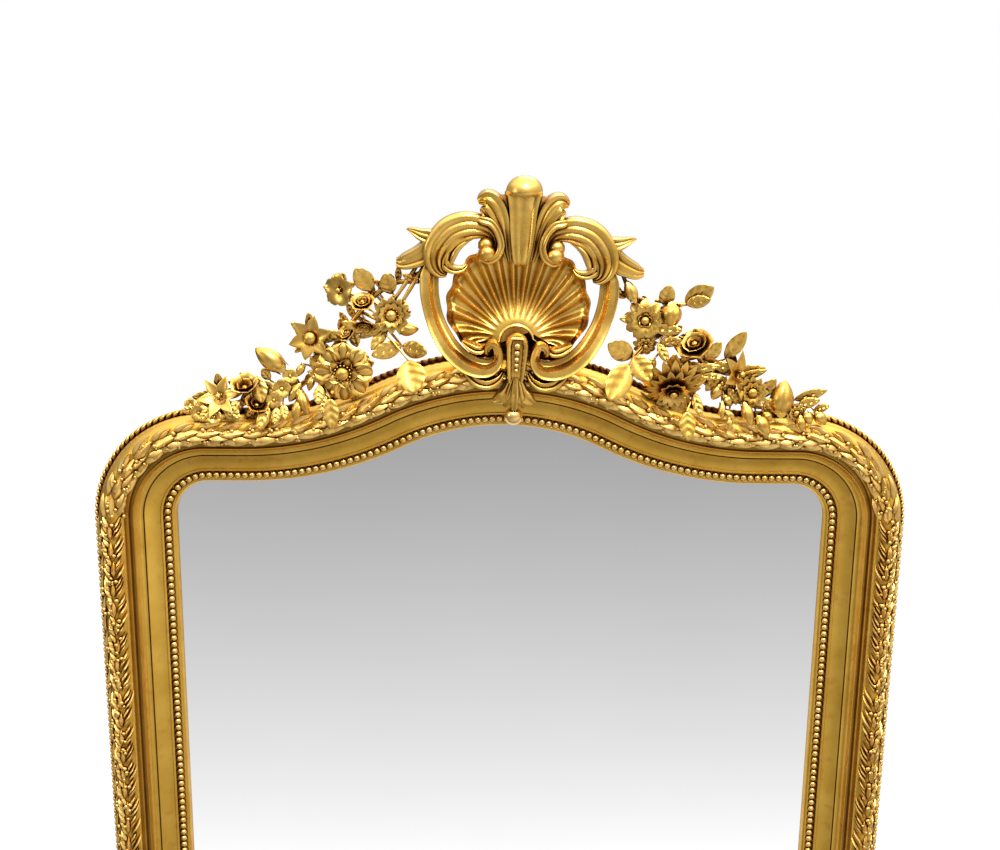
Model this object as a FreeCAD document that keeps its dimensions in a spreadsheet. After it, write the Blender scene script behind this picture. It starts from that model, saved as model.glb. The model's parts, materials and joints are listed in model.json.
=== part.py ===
"""Tall gilt mirror: a moulded frame with an arched top, a shell crest and two flower garlands.

Front view: +X to the right, +Z up.  The front faces -Y and the wall is at +Y.  The origin is the
middle of the bottom rail's underside, which is what the mirror stands on.
"""

import FreeCAD
import Part
import Sketcher
import math
import os
from types import SimpleNamespace

Vector = FreeCAD.Vector
Rotation = FreeCAD.Rotation
Placement = FreeCAD.Placement

doc = FreeCAD.newDocument("tall_gilt_mirror")

# ---------------------------------------------------------------- sizes, in millimetres and degrees

SIZES = {
    # outline of the frame, seen from the front
    "overall_width": 1090,
    "shoulder_height": 1507,
    "moulding_width": 108,
    "corner_radius": 45,
    "shoulder_flat": 50,
    "sweep_angle": 26.3,
    "crown_radius": 297,
    # section of the moulding: distance out from the sight edge, and depth out from the wall
    "side_depth": 50,
    "lip_face": 38,
    "bead_bed_depth": 36,
    "bead_line": 11,
    "bead_radius": 4,
    "fillet_start": 18,
    "fillet_width": 3,
    "fillet_face": 42,
    "flat_width": 20,
    "flat_rise": 8,
    "cove_radius": 11,
    "groove_slope": 2,
    "groove_width": 5,
    "groove_bottom": 54,
    "quirk_width": 2.5,
    "torus_radius": 18,
    "torus_foot": 60,
    "rope_radius": 4.5,
    # rebates at the back for the glass and for the boards
    "glass_lap": 8,
    "glass_front": 28,
    "glass_thickness": 5,
    "glass_clearance": 2,
    "board_lap": 20,
    "board_front": 18,
    "board_thickness": 10,
    "board_clearance": 2,
    "board_gap": 0.6,
    "block_length": 60,
    "block_width": 12,
    # joint keys let into the back
    "key_length": 80,
    "key_width": 24,
    "key_thickness": 8,
    # square cut nails that hold the boards
    "nail_shank": 3,
    "nail_length": 21,
    "nail_head": 7,
    "nail_head_thickness": 1.5,
    "nail_line": 14,
    # ring hangers on the back
    "hanger_drop": 114,
    "hanger_inset": 46,
    "hanger_plate_length": 60,
    "hanger_plate_height": 16,
    "hanger_plate_thickness": 1.6,
    "hanger_loop_length": 14,
    "hanger_loop_wall": 1.5,
    "ring_wire": 5,
    "ring_clearance": 0.3,
    "ring_neck": 21,
    "ring_width": 34,
    "ring_drop": 36,
    "screw_shank": 3.6,
    "screw_head": 7.2,
    "screw_head_thickness": 1.4,
    "screw_length": 20,
    "screw_spacing": 44,
    # crest
    "crest_offset": 12.5,
    "crest_drop": 87,
    "crest_lean": 2,
    "crest_block_width": 70,
    "crest_block_height": 92,
    "crest_block_thickness": 28,
    "crest_block_back": 6,
    "dowel_diameter": 10,
    "dowel_length": 80,
    "dowel_spacing": 40,
    "seat_clearance": 0.3,
    "shell_radius": 90,
    "shell_height": 114,
    "shell_flutes": 15,
    "shell_sweep": 210,
    "shell_rim_depth": 58,
    "shell_bowl_depth": 46,
    "shell_thickness": 8,
    "shell_flute_depth": 5,
    "shell_boss_radius": 23,
    "scroll_depth": 20,
    "scroll_steps": 2,
    "boss_radius": 10,
    "finial_radius": 23,
    "finial_height": 20,
    "drop_radius": 10,
    "pearl_radius": 4,
    # garlands
    "stem_radius": 3,
    "stem_depth": 44,
    "twig_radius": 1.4,
}

sheet = doc.addObject("Spreadsheet::Sheet", "Sizes")
for line, (alias, value) in enumerate(SIZES.items(), start=1):
    sheet.set(f"A{line}", alias)
    sheet.set(f"B{line}", str(value))
    sheet.setAlias(f"B{line}", alias)
doc.recompute()


class Size:
    """A size with its number and with the rule that the document follows for it."""

    def __init__(self, number, rule):
        self.number = number
        self.rule = rule

    def __add__(self, other):
        other = as_size(other)
        return Size(self.number + other.number, f"({self.rule} + {other.rule})")

    def __sub__(self, other):
        other = as_size(other)
        return Size(self.number - other.number, f"({self.rule} - {other.rule})")

    def __mul__(self, factor):
        factor = as_size(factor)
        return Size(self.number * factor.number, f"({self.rule} * {factor.rule})")

    def __truediv__(self, divisor):
        divisor = as_size(divisor)
        return Size(self.number / divisor.number, f"({self.rule} / {divisor.rule})")

    def __neg__(self):
        return Size(-self.number, f"(0 - {self.rule})")


def as_size(value):
    return value if isinstance(value, Size) else Size(float(value), f"{float(value)}")


def sine(angle):
    return Size(math.sin(math.radians(angle.number)), f"sin({angle.rule})")


def cosine(angle):
    return Size(math.cos(math.radians(angle.number)), f"cos({angle.rule})")


cell = SimpleNamespace(**{alias: Size(float(sheet.get(alias)), f"Sizes.{alias}") for alias in SIZES})
mm = SimpleNamespace(**{alias: float(sheet.get(alias)) for alias in SIZES})
zero = as_size(0)

# share of the cove's radius that its middle corner stands in from its face
COVE_WAIST = 0.62
# sides of small turned pieces
ROUND_SIDES = 10
TORUS_FACETS = 5

half_width = cell.overall_width / 2
half_sight = half_width - cell.moulding_width
sight_top = cell.shoulder_height - cell.moulding_width
corner_x = half_sight - cell.corner_radius
corner_z = sight_top - cell.corner_radius
flat_x = corner_x - cell.shoulder_flat
sweep_radius = flat_x / sine(cell.sweep_angle) - cell.crown_radius
sweep_z = sight_top + sweep_radius
crown_z = sweep_z - (sweep_radius + cell.crown_radius) * cosine(cell.sweep_angle)
crown_top = crown_z + cell.crown_radius + cell.moulding_width
wall_y = cell.side_depth / 2


# ---------------------------------------------------------------- drawing helpers


def closed_outline(sketch, corners, bows):
    """Draws a closed outline through the corners; a bow turns the edge after a corner into an arc.

    corners holds (across, up) sizes, bows holds edge number: (centre sizes, a point on the arc).
    """
    spots = [Vector(x.number, y.number, 0) for x, y in corners]
    count = len(corners)
    ends = []
    for edge in range(count):
        start = spots[edge]
        finish = spots[(edge + 1) % count]
        if edge not in bows:
            sketch.addGeometry(Part.LineSegment(start, finish))
            ends.append((1, 2))
            continue
        (centre_x, centre_y), middle = bows[edge]
        centre = Vector(centre_x.number, centre_y.number, 0)
        angles = [math.atan2((p - centre).y, (p - centre).x) for p in (start, middle, finish)]
        full = 2 * math.pi
        forward = (angles[1] - angles[0]) % full < (angles[2] - angles[0]) % full
        first, last = (angles[0], angles[2]) if forward else (angles[2], angles[0])
        last = last + full if last < first else last
        circle = Part.Circle(centre, Vector(0, 0, 1), (start - centre).Length)
        sketch.addGeometry(Part.ArcOfCircle(circle, first, last))
        ends.append((1, 2) if forward else (2, 1))
    for edge in range(count):
        after = (edge + 1) % count
        sketch.addConstraint(Sketcher.Constraint("Coincident", edge, ends[edge][1], after, ends[after][0]))
    for edge, (x, y) in enumerate(corners):
        for kind, size in (("DistanceX", x), ("DistanceY", y)):
            spot = Sketcher.Constraint(kind, -1, 1, edge, ends[edge][0], size.number)
            bind(sketch, sketch.addConstraint(spot), f"{kind}_{edge}", size)
    for edge, (centre, middle) in bows.items():
        chord = spots[(edge + 1) % count] - spots[edge]
        kind, size = ("DistanceX", centre[0]) if abs(chord.y) > abs(chord.x) else ("DistanceY", centre[1])
        hub = Sketcher.Constraint(kind, -1, 1, edge, 3, size.number)
        bind(sketch, sketch.addConstraint(hub), f"Centre_{edge}", size)


def bind(sketch, number, name, size):
    sketch.renameConstraint(number, name)
    sketch.setExpression(f"Constraints.{name}", size.rule)


def new_body(label):
    return doc.addObject("PartDesign::Body", label)


def sketch_on(body, role, name, across=zero, up=zero, out=zero):
    """An empty sketch on one of the body's origin planes, moved to the given place."""
    sketch = body.newObject("Sketcher::SketchObject", name)
    plane = next(part for part in body.Origin.OriginFeatures if part.Role == role)
    sketch.AttachmentSupport = [(plane, "")]
    sketch.MapMode = "FlatFace"
    for axis, size in zip("xyz", (across, up, out)):
        sketch.setExpression(f"AttachmentOffset.Base.{axis}", size.rule)
    return sketch


def pad(body, sketch, name, length, both_ways=False, backwards=False):
    feature = body.newObject("PartDesign::Pad", name)
    feature.Profile = sketch
    feature.setExpression("Length", length.rule)
    feature.Midplane = both_ways
    feature.Reversed = backwards
    return feature


def revolve(body, sketch, name, angle, both_ways=False):
    feature = body.newObject("PartDesign::Revolution", name)
    feature.Profile = sketch
    feature.ReferenceAxis = (sketch, ["H_Axis"])
    feature.setExpression("Angle", angle.rule)
    feature.Midplane = both_ways
    return feature


def cut_corner(body, name, corners):
    """Takes a triangle, drawn in the front view, off the body through its whole depth."""
    sketch = sketch_on(body, "XZ_Plane", f"{name}_line")
    closed_outline(sketch, corners, {})
    feature = body.newObject("PartDesign::Pocket", name)
    feature.Profile = sketch
    feature.Type = 1
    feature.Midplane = True
    return feature


def block(label, length, depth, height):
    box = doc.addObject("Part::Box", label)
    box.setExpression("Length", length.rule)
    box.setExpression("Width", depth.rule)
    box.setExpression("Height", height.rule)
    return box


def rod(label, diameter, height):
    cylinder = doc.addObject("Part::Cylinder", label)
    cylinder.setExpression("Radius", (diameter / 2).rule)
    cylinder.setExpression("Height", height.rule)
    return cylinder


def turned(label, diameter, height):
    """A turned rod in flat facets."""
    prism = doc.addObject("Part::Prism", label)
    prism.Polygon = ROUND_SIDES
    prism.setExpression("Circumradius", (diameter / 2).rule)
    prism.setExpression("Height", height.rule)
    return prism


def group(label, members):
    compound = doc.addObject("Part::Compound", label)
    compound.Links = members
    return compound


def difference(label, base, tool):
    feature = doc.addObject("Part::Cut", label)
    feature.Base = base
    feature.Tool = tool
    return feature


def mirrored(label, source):
    """The left-hand twin of a right-hand piece."""
    feature = doc.addObject("Part::Mirroring", label)
    feature.Source = source
    feature.Normal = Vector(1, 0, 0)
    return feature


def solid_piece(label, shape, placement):
    feature = doc.addObject("Part::Feature", label)
    feature.Shape = shape
    feature.Placement = placement
    return feature


def skin(rings):
    """A closed solid in flat facets through a row of rings; a ring of one point is a tip."""
    faces = []

    def facet(*spots):
        faces.append(Part.Face(Part.makePolygon([*spots, spots[0]])))

    for near, far in zip(rings, rings[1:]):
        count = max(len(near), len(far))
        for place in range(count):
            after = (place + 1) % count
            if len(near) > 1:
                facet(near[place], near[after], far[after % len(far)])
            if len(far) > 1:
                facet(near[place % len(near)], far[after], far[place])
    for end in (rings[0], rings[-1]):
        if len(end) > 1:
            middle = sum(end, Vector()) / len(end)
            for place, spot in enumerate(end):
                facet(spot, end[(place + 1) % len(end)], middle)
    shell = Part.Shell(faces)
    shell.sewShape()
    solid = Part.Solid(Part.Shell(shell.Faces))
    if solid.Volume < 0:
        solid.reverse()
    return solid


def circle(count, radius, height, start=0.0):
    """Points round the local Z axis."""
    turns = [start + 2 * math.pi * place / count for place in range(count)]
    return [Vector(radius * math.cos(turn), radius * math.sin(turn), height) for turn in turns]


# ---------------------------------------------------------------- section of the moulding


def moulding_section():
    """Corners of the section as (out from the sight edge, out from the wall).

    Lip, bead line, fillet, flat, cove, groove, torus and rope edge, then the side, the back and the
    two rebates.  The torus runs in flat facets, under the leaf ornament that covers it.
    """
    bead_start = cell.bead_line - cell.bead_radius
    bead_end = cell.bead_line + cell.bead_radius
    flat_start = cell.fillet_start + cell.fillet_width
    flat_end = flat_start + cell.flat_width
    flat_face = cell.fillet_face + cell.flat_rise
    cove_end = flat_end + cell.cove_radius
    cove_waist = cell.cove_radius * COVE_WAIST
    groove_start = cove_end + cell.groove_slope
    groove_end = groove_start + cell.groove_width
    torus_line = groove_end + cell.quirk_width + cell.torus_radius
    rope_start = cell.moulding_width - cell.rope_radius * 2
    rope_face = cell.side_depth + cell.rope_radius
    inner = [
        (zero, cell.glass_front),
        (zero, cell.lip_face),
        (bead_start, cell.lip_face),
        (cell.bead_line, cell.bead_bed_depth + cell.bead_radius),
        (bead_end, cell.bead_bed_depth),
        (cell.fillet_start, cell.fillet_face),
        (flat_start, cell.fillet_face),
        (flat_end, flat_face),
        (cove_end - cove_waist, flat_face + cell.cove_radius - cove_waist),
        (cove_end, flat_face + cell.cove_radius),
        (groove_start, cell.groove_bottom),
        (groove_end, cell.groove_bottom),
    ]
    torus = []
    for step in range(TORUS_FACETS + 1):
        turn = math.pi * step / TORUS_FACETS
        out = torus_line - cell.torus_radius * math.cos(turn)
        torus.append((out, cell.torus_foot + cell.torus_radius * math.sin(turn)))
    outer = [
        (rope_start, cell.side_depth),
        (rope_start + cell.rope_radius / 2, rope_face),
        (cell.moulding_width - cell.rope_radius / 2, rope_face),
        (cell.moulding_width, cell.side_depth),
        (cell.moulding_width, zero),
        (cell.board_lap, zero),
        (cell.board_lap, cell.board_front),
        (cell.glass_lap, cell.board_front),
        (cell.glass_lap, cell.glass_front),
    ]
    return inner + torus + outer


def draw_section(sketch, place):
    """Draws the section; place turns (out from the sight edge, out from the wall) into sketch x, y."""
    closed_outline(sketch, [place(out, depth) for out, depth in moulding_section()], {})


# ---------------------------------------------------------------- rails of the frame


def make_stile():
    body = new_body("right_stile_blank")
    section = sketch_on(body, "XY_Plane", "right_stile_section")
    draw_section(section, lambda out, depth: (half_sight + out, wall_y - depth))
    pad(body, section, "right_stile_length", corner_z)
    below_mitre = [(half_width, zero), (half_sight, cell.moulding_width), (half_sight, zero)]
    cut_corner(body, "right_stile_mitre", below_mitre)
    return body


def make_bottom_rail():
    body = new_body("bottom_rail_blank")
    section = sketch_on(body, "YZ_Plane", "bottom_rail_section")
    draw_section(section, lambda out, depth: (wall_y - depth, cell.moulding_width - out))
    pad(body, section, "bottom_rail_length", cell.overall_width, both_ways=True)
    for side, hand in ((as_size(1), "right"), (as_size(-1), "left")):
        above_mitre = [
            (side * half_width, zero),
            (side * half_width, cell.moulding_width),
            (side * half_sight, cell.moulding_width),
        ]
        cut_corner(body, f"bottom_rail_{hand}_mitre", above_mitre)
    return body


def make_shoulder():
    """Round corner, short level run, then the hollow sweep up to the crown."""
    body = new_body("right_shoulder_blank")
    sweep = sketch_on(body, "YZ_Plane", "right_sweep_section", up=sweep_z, out=flat_x)
    draw_section(sweep, lambda out, depth: (wall_y - depth, out - sweep_radius))
    pad(body, sweep, "right_shoulder_flat", cell.shoulder_flat)
    revolve(body, sweep, "right_sweep", cell.sweep_angle)
    corner = sketch_on(body, "YZ_Plane", "right_corner_section", up=corner_z, out=corner_x)
    draw_section(corner, lambda out, depth: (wall_y - depth, cell.corner_radius + out))
    revolve(body, corner, "right_corner", as_size(90))
    return body


def make_crown():
    body = new_body("crown_rail_blank")
    section = sketch_on(body, "YZ_Plane", "crown_section", up=crown_z)
    draw_section(section, lambda out, depth: (wall_y - depth, cell.crown_radius + out))
    revolve(body, section, "crown_bend", cell.sweep_angle * 2, both_ways=True)
    return body


stile_blank = make_stile()
bottom_blank = make_bottom_rail()
shoulder_blank = make_shoulder()
crown_blank = make_crown()


# ---------------------------------------------------------------- joint keys, let in flush at the back


def make_key(label, middle_x, middle_z, turn):
    """A flat key across a joint; turn leans its length from level, clockwise from the front."""
    key = block(label, cell.key_length, cell.key_thickness, cell.key_width)
    spin = Rotation(Vector(0, 1, 0), turn)
    half = spin.multVec(Vector(mm.key_length / 2, 0, mm.key_width / 2))
    corner = Vector(middle_x, wall_y.number - mm.key_thickness, middle_z) - half
    key.Placement = Placement(corner, spin)
    return key


# the keys lie in the middle of the flat back, between the board rebate and the outer edge
middle_out = (mm.moulding_width + mm.board_lap) / 2
joint_radius = mm.crown_radius + middle_out
joint_turn = math.radians(mm.sweep_angle)
joint_line = half_sight.number + middle_out
right_keys = {
    "mitre": make_key("right_mitre_key", joint_line, mm.moulding_width - middle_out, -45),
    "stile": make_key("right_stile_key", joint_line, corner_z.number, 90),
    "crown": make_key(
        "right_crown_key",
        joint_radius * math.sin(joint_turn),
        crown_z.number + joint_radius * math.cos(joint_turn),
        mm.sweep_angle,
    ),
}
for name, key in right_keys.items():
    group(f"{name}_keys", [key, mirrored(f"left_{name}_key", key)])


# ---------------------------------------------------------------- glass, blocks and boards


def panel(label, reach, thickness, front):
    """A flat panel that follows the sight edge at a distance; front is its face's depth."""
    right = [
        (half_sight + reach, cell.moulding_width - reach),
        (half_sight + reach, corner_z),
        (corner_x, sight_top + reach),
        (flat_x, sight_top + reach),
        ((cell.crown_radius + reach) * sine(cell.sweep_angle),
         crown_z + (cell.crown_radius + reach) * cosine(cell.sweep_angle)),
    ]
    left = [(-x, z) for x, z in reversed(right)]
    slant = math.sin(math.radians(45)) * (mm.corner_radius + reach.number)
    bend = math.radians(mm.sweep_angle / 2)
    dip = sweep_radius.number - reach.number
    arcs = {}
    for side, edges in ((1, (1, 3)), (-1, (7, 5))):
        hub_x = corner_x if side > 0 else -corner_x
        far_x = flat_x if side > 0 else -flat_x
        corner_point = Vector(side * (corner_x.number + slant), corner_z.number + slant, 0)
        sweep_point = Vector(
            side * (flat_x.number - dip * math.sin(bend)), sweep_z.number - dip * math.cos(bend), 0
        )
        arcs[edges[0]] = ((hub_x, corner_z), corner_point)
        arcs[edges[1]] = ((far_x, sweep_z), sweep_point)
    arcs[4] = ((zero, crown_z), Vector(0, (crown_z + cell.crown_radius + reach).number, 0))
    body = new_body(label)
    sketch = sketch_on(body, "XZ_Plane", f"{label}_outline", out=front - wall_y)
    closed_outline(sketch, right + left, arcs)
    pad(body, sketch, f"{label}_thickness", thickness, backwards=True)
    return body


glass_reach = cell.glass_lap - cell.glass_clearance
board_reach = cell.board_lap - cell.board_clearance
mirror_plate = panel("mirror_plate", glass_reach, cell.glass_thickness, cell.glass_front)
board_blank = panel("board_blank", board_reach, cell.board_thickness, cell.board_front)

BOARD_NAMES = ("lowest_board", "lower_board", "upper_board", "arched_board")
board_foot = mm.moulding_width - board_reach.number
board_pitch = (sight_top.number + board_reach.number - board_foot) / len(BOARD_NAMES)
board_span = mm.overall_width
arch_room = crown_top.number - sight_top.number


def nail(x, z):
    """A square cut nail, driven forward through a board into the rebate."""
    back = -(mm.board_front - mm.board_thickness)
    shank = Part.makeBox(mm.nail_shank, mm.nail_length, mm.nail_shank)
    shank.translate(Vector(x - mm.nail_shank / 2, back - mm.nail_length, z - mm.nail_shank / 2))
    head = Part.makeBox(mm.nail_head, mm.nail_head_thickness, mm.nail_head)
    head.translate(Vector(x - mm.nail_head / 2, back, z - mm.nail_head / 2))
    return shank.fuse(head).removeSplitter()


nail_x = half_sight.number + mm.nail_line
side_nails = [nail(nail_x, board_foot + board_pitch * (place + 0.5)) for place in range(len(BOARD_NAMES))]
foot_nail = nail(half_sight.number / 2, mm.moulding_width - mm.nail_line)
head_nail = nail((corner_x.number + flat_x.number) / 2, sight_top.number + mm.nail_line)
at_wall = Placement(Vector(0, wall_y.number, 0), Rotation())
right_nails = solid_piece("right_nails", Part.makeCompound([*side_nails, foot_nail, head_nail]), at_wall)
left_nails = mirrored("left_nails", right_nails)
backboard_nails = group("backboard_nails", [right_nails, left_nails])

for place, name in enumerate(BOARD_NAMES):
    extra = arch_room if place == len(BOARD_NAMES) - 1 else -mm.board_gap
    slab = Part.makeBox(board_span, mm.side_depth, board_pitch + extra)
    strip = solid_piece(
        f"{name}_strip",
        slab,
        Placement(Vector(-board_span / 2, -wall_y.number, board_foot + board_pitch * place), Rotation()),
    )
    sawn = doc.addObject("Part::Common", f"{name}_sawn")
    sawn.Base = board_blank
    sawn.Tool = strip
    difference(name, sawn, backboard_nails)

# softwood blocks between the glass and the boards, all round the rebate
block_depth = cell.glass_front - cell.glass_thickness - cell.board_front
upright_blocks = []
level_blocks = []
for place in range(len(BOARD_NAMES)):
    upright = block(f"side_block_{place}", cell.block_width, block_depth, cell.block_length)
    upright.Placement.Base = Vector(
        half_sight.number - mm.block_width + glass_reach.number,
        wall_y.number - mm.glass_front + mm.glass_thickness,
        board_foot + board_pitch * (place + 0.5) - mm.block_length / 2,
    )
    upright_blocks.append(upright)
for name, height in (
    ("foot_block", mm.moulding_width - glass_reach.number),
    ("head_block", sight_top.number + glass_reach.number - mm.block_width),
):
    level = block(name, cell.block_length, block_depth, cell.block_width)
    level.Placement.Base = Vector(
        corner_x.number - mm.block_length, wall_y.number - mm.glass_front + mm.glass_thickness, height
    )
    level_blocks.append(level)
right_blocks = group("right_blocks", upright_blocks + level_blocks)
group("glazing_blocks", [right_blocks, mirrored("left_blocks", right_blocks)])


# ---------------------------------------------------------------- ring hangers on the stiles


def screw(x, z):
    """A round-headed screw through the hanger plate into the stile, drawn about its own axis."""
    shank = mm.screw_shank / 2
    head = mm.screw_head / 2
    rings = [
        circle(ROUND_SIDES, shank, -mm.screw_length),
        circle(ROUND_SIDES, shank, mm.hanger_plate_thickness),
        circle(ROUND_SIDES, head, mm.hanger_plate_thickness),
        circle(ROUND_SIDES, head * 0.7, mm.hanger_plate_thickness + mm.screw_head_thickness),
    ]
    shape = skin(rings)
    shape.Placement = Placement(Vector(x, 0, z), Rotation(Vector(1, 0, 0), -90))
    return shape


hanger_x = half_width.number - mm.hanger_inset
hanger_z = corner_z.number - mm.hanger_drop
# the corners of the ring's square bar turn just clear of the plate
hanger_axis = mm.hanger_plate_thickness + mm.ring_wire * math.sqrt(0.5) + mm.ring_clearance
hanger_place = Placement(Vector(hanger_x, wall_y.number, hanger_z), Rotation())
right_screws = solid_piece(
    "right_hanger_screws",
    Part.makeCompound([screw(-mm.screw_spacing / 2, 0), screw(mm.screw_spacing / 2, 0)]),
    hanger_place,
)
left_screws = mirrored("left_hanger_screws", right_screws)
group("hanger_screws", [right_screws, left_screws])

plate_bar = block(
    "hanger_plate_bar", cell.hanger_plate_length, cell.hanger_plate_thickness, cell.hanger_plate_height
)
plate_bar.Placement.Base = Vector(
    hanger_x - mm.hanger_plate_length / 2,
    wall_y.number,
    hanger_z - mm.hanger_plate_height / 2,
)
sideways = Rotation(Vector(0, 1, 0), 90)
loop_start = Vector(hanger_x - mm.hanger_loop_length / 2, wall_y.number + hanger_axis, hanger_z)
bore_diameter = cell.ring_wire + cell.ring_clearance * 2
plate_loop = turned(
    "hanger_plate_loop", bore_diameter + cell.hanger_loop_wall * 2, cell.hanger_loop_length
)
plate_loop.Placement = Placement(loop_start, sideways)
loop_bore = rod("hanger_plate_bore", bore_diameter, cell.hanger_loop_length)
loop_bore.Placement = Placement(loop_start, sideways)
plate_blank = doc.addObject("Part::Fuse", "hanger_plate_blank")
plate_blank.Base = plate_bar
plate_blank.Tool = plate_loop
plate_bored = difference("hanger_plate_bored", plate_blank, loop_bore)
right_plate = difference("right_hanger_plate", plate_bored, right_screws)
mirrored("left_hanger_plate", right_plate)


def hanger_ring():
    """A closed iron link: a round neck that turns in the plate's loop, and a square bar below it."""
    radius = mm.ring_wire / 2
    neck = skin([
        circle(ROUND_SIDES, radius, -mm.ring_neck / 2),
        circle(ROUND_SIDES, radius, mm.ring_neck / 2),
    ])
    neck.Placement = Placement(Vector(), sideways)
    rings = []
    for side in (1, -1):
        for x, z, lean in ((mm.ring_neck / 2, 0, 1), (mm.ring_width / 2, -mm.ring_drop, -1)):
            rings.append([
                Vector(side * (x + radius * a), radius * b, z + radius * a * lean)
                for a, b in ((-1, -1), (-1, 1), (1, 1), (1, -1))
            ])
    bar = skin([rings[0], rings[1], rings[3], rings[2]])
    return neck.fuse(bar).removeSplitter()


ring_place = Placement(Vector(hanger_x, wall_y.number + hanger_axis, hanger_z), Rotation())
right_ring = solid_piece("right_hanger_ring", hanger_ring(), ring_place)
mirrored("left_hanger_ring", right_ring)


# ---------------------------------------------------------------- crest


def crest_spot(across, up, depth):
    """A point in the crest's own frame: from its axis, up from its foot, out from the wall."""
    return Vector(across, -depth, up)


crest_place = Placement(
    Vector(mm.crest_offset, wall_y.number, crown_top.number - mm.crest_drop),
    Rotation(Vector(0, 1, 0), mm.crest_lean),
)
torus_crest = mm.torus_foot + mm.torus_radius * math.cos(math.pi / (2 * TORUS_FACETS))
moulding_seat = torus_crest + mm.seat_clearance
block_face = mm.crest_block_back + mm.crest_block_thickness
shell_back = block_face + mm.seat_clearance
front_seat = mm.shell_rim_depth + mm.seat_clearance

# hidden pine block that stands on the crown behind the shell, held by two dowels
crest_block_box = block(
    "crest_block_box", cell.crest_block_width, cell.crest_block_thickness, cell.crest_block_height
)
crest_block_box.Placement.Base = Vector(
    mm.crest_offset - mm.crest_block_width / 2,
    wall_y.number - block_face,
    crown_top.number - mm.seat_clearance * 2,
)
arch_bed = rod(
    "crest_block_bed",
    (cell.crown_radius + cell.moulding_width + cell.seat_clearance) * 2,
    cell.side_depth * 2,
)
arch_bed.Placement = Placement(
    Vector(0, mm.side_depth, crown_z.number), Rotation(Vector(1, 0, 0), 90)
)
dowels = []
for side in (-1, 1):
    hand = "left" if side < 0 else "right"
    dowel = turned(f"{hand}_crest_dowel", cell.dowel_diameter, cell.dowel_length)
    dowel.Placement.Base = Vector(
        mm.crest_offset + side * mm.dowel_spacing / 2,
        wall_y.number - mm.crest_block_back - mm.crest_block_thickness / 2,
        crown_top.number - mm.dowel_length / 2,
    )
    dowels.append(dowel)
crest_dowels = group("crest_dowels", dowels)
crest_block_bedded = difference("crest_block_bedded", crest_block_box, arch_bed)
difference("crest_block", crest_block_bedded, crest_dowels)


def scallop_shell():
    """A fluted fan: each ring is the section of the shell along one ridge or one groove."""
    radius = mm.shell_radius
    steps = round(mm.shell_flutes) * 2
    first = 90 + mm.shell_sweep / 2
    rings = []
    for step in range(steps + 1):
        turn = math.radians(first - mm.shell_sweep * step / steps)
        groove = step % 2
        rim = radius - groove * mm.shell_flute_depth
        low = groove * mm.shell_flute_depth
        bowl = mm.shell_bowl_depth
        section = [
            (radius * 0.18, bowl + mm.shell_thickness),
            (radius * 0.5, bowl - low * 0.6),
            (radius * 0.8, bowl + 3 - low * 0.8),
            (rim, mm.shell_rim_depth - low * 0.5),
            (rim, mm.shell_rim_depth - mm.shell_thickness),
            (radius * 0.66, shell_back),
            (radius * 0.18, shell_back),
        ]
        rings.append([
            crest_spot(r * math.cos(turn), mm.shell_height + r * math.sin(turn), depth)
            for r, depth in section
        ])
    return skin(rings)


def flow(stations, steps):
    """Smooths a hand-drawn row of stations: a curve through all of them, every number at once."""
    smooth = []
    last = len(stations) - 1
    for place in range(last):
        before = stations[max(place - 1, 0)]
        start = stations[place]
        finish = stations[place + 1]
        after = stations[min(place + 2, last)]
        for step in range(steps):
            t = step / steps
            smooth.append(tuple(
                b + 0.5 * t * (c - a + t * (2 * a - 5 * b + 4 * c - d + t * (3 * (b - c) + d - a)))
                for a, b, c, d in zip(before, start, finish, after)
            ))
    return smooth + [stations[-1]]


def scroll(side):
    """A hollowed C-scroll: its top curls to the plume and its foot curls to the pendant."""
    half = mm.scroll_depth / 2
    top = front_seat + half
    foot = moulding_seat + half
    stations = [
        (56, 199, top, 6),
        (45, 193, top, 9),
        (31, 202, top, 12),
        (27, 221, top, 14),
        (35, 241, top, 20),
        (57, 250, top, 27),
        (83, 243, top, 33),
        (101, 222, top, 34),
        (109, 197, top, 30),
        (111, 172, top, 25),
        (111, 148, top, 24),
        (106, 120, top, 24),
        (95, 96, foot - 2, 24),
        (76, 73, foot, 25),
        (53, 61, foot, 26),
        (31, 66, foot, 19),
        (25, 81, foot, 12),
        (33, 93, foot, 9),
        (43, 90, foot, 6),
    ]
    line = flow(stations, round(mm.scroll_steps))
    section = [(0.5, -1), (0.5, 0.5), (0.25, 1), (-0.15, 0.3), (-0.5, 0.6), (-0.5, -1)]
    rings = []
    for place, (across, up, depth, width) in enumerate(line):
        before = line[max(place - 1, 0)]
        after = line[min(place + 1, len(line) - 1)]
        ahead = Vector(after[0] - before[0], after[1] - before[1], 0).normalize()
        outward = Vector(-ahead.y, ahead.x, 0)
        ring = []
        for share, lift in section:
            spot = Vector(across, up, 0) + outward * (share * width)
            ring.append(crest_spot(side * spot.x, spot.y, depth + lift * half))
        rings.append(ring)
    return skin(rings)


def volute_bosses():
    bosses = []
    for side in (-1, 1):
        rings = [
            circle(8, mm.boss_radius, 0),
            circle(8, mm.boss_radius, mm.scroll_depth * 0.9),
            circle(8, mm.boss_radius * 0.6, mm.scroll_depth * 1.2),
        ]
        boss = skin(rings)
        centre = crest_spot(side * 44, 214, front_seat)
        boss.Placement = Placement(centre, Rotation(Vector(1, 0, 0), 90))
        bosses.append(boss)
    return Part.makeCompound(bosses)


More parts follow.
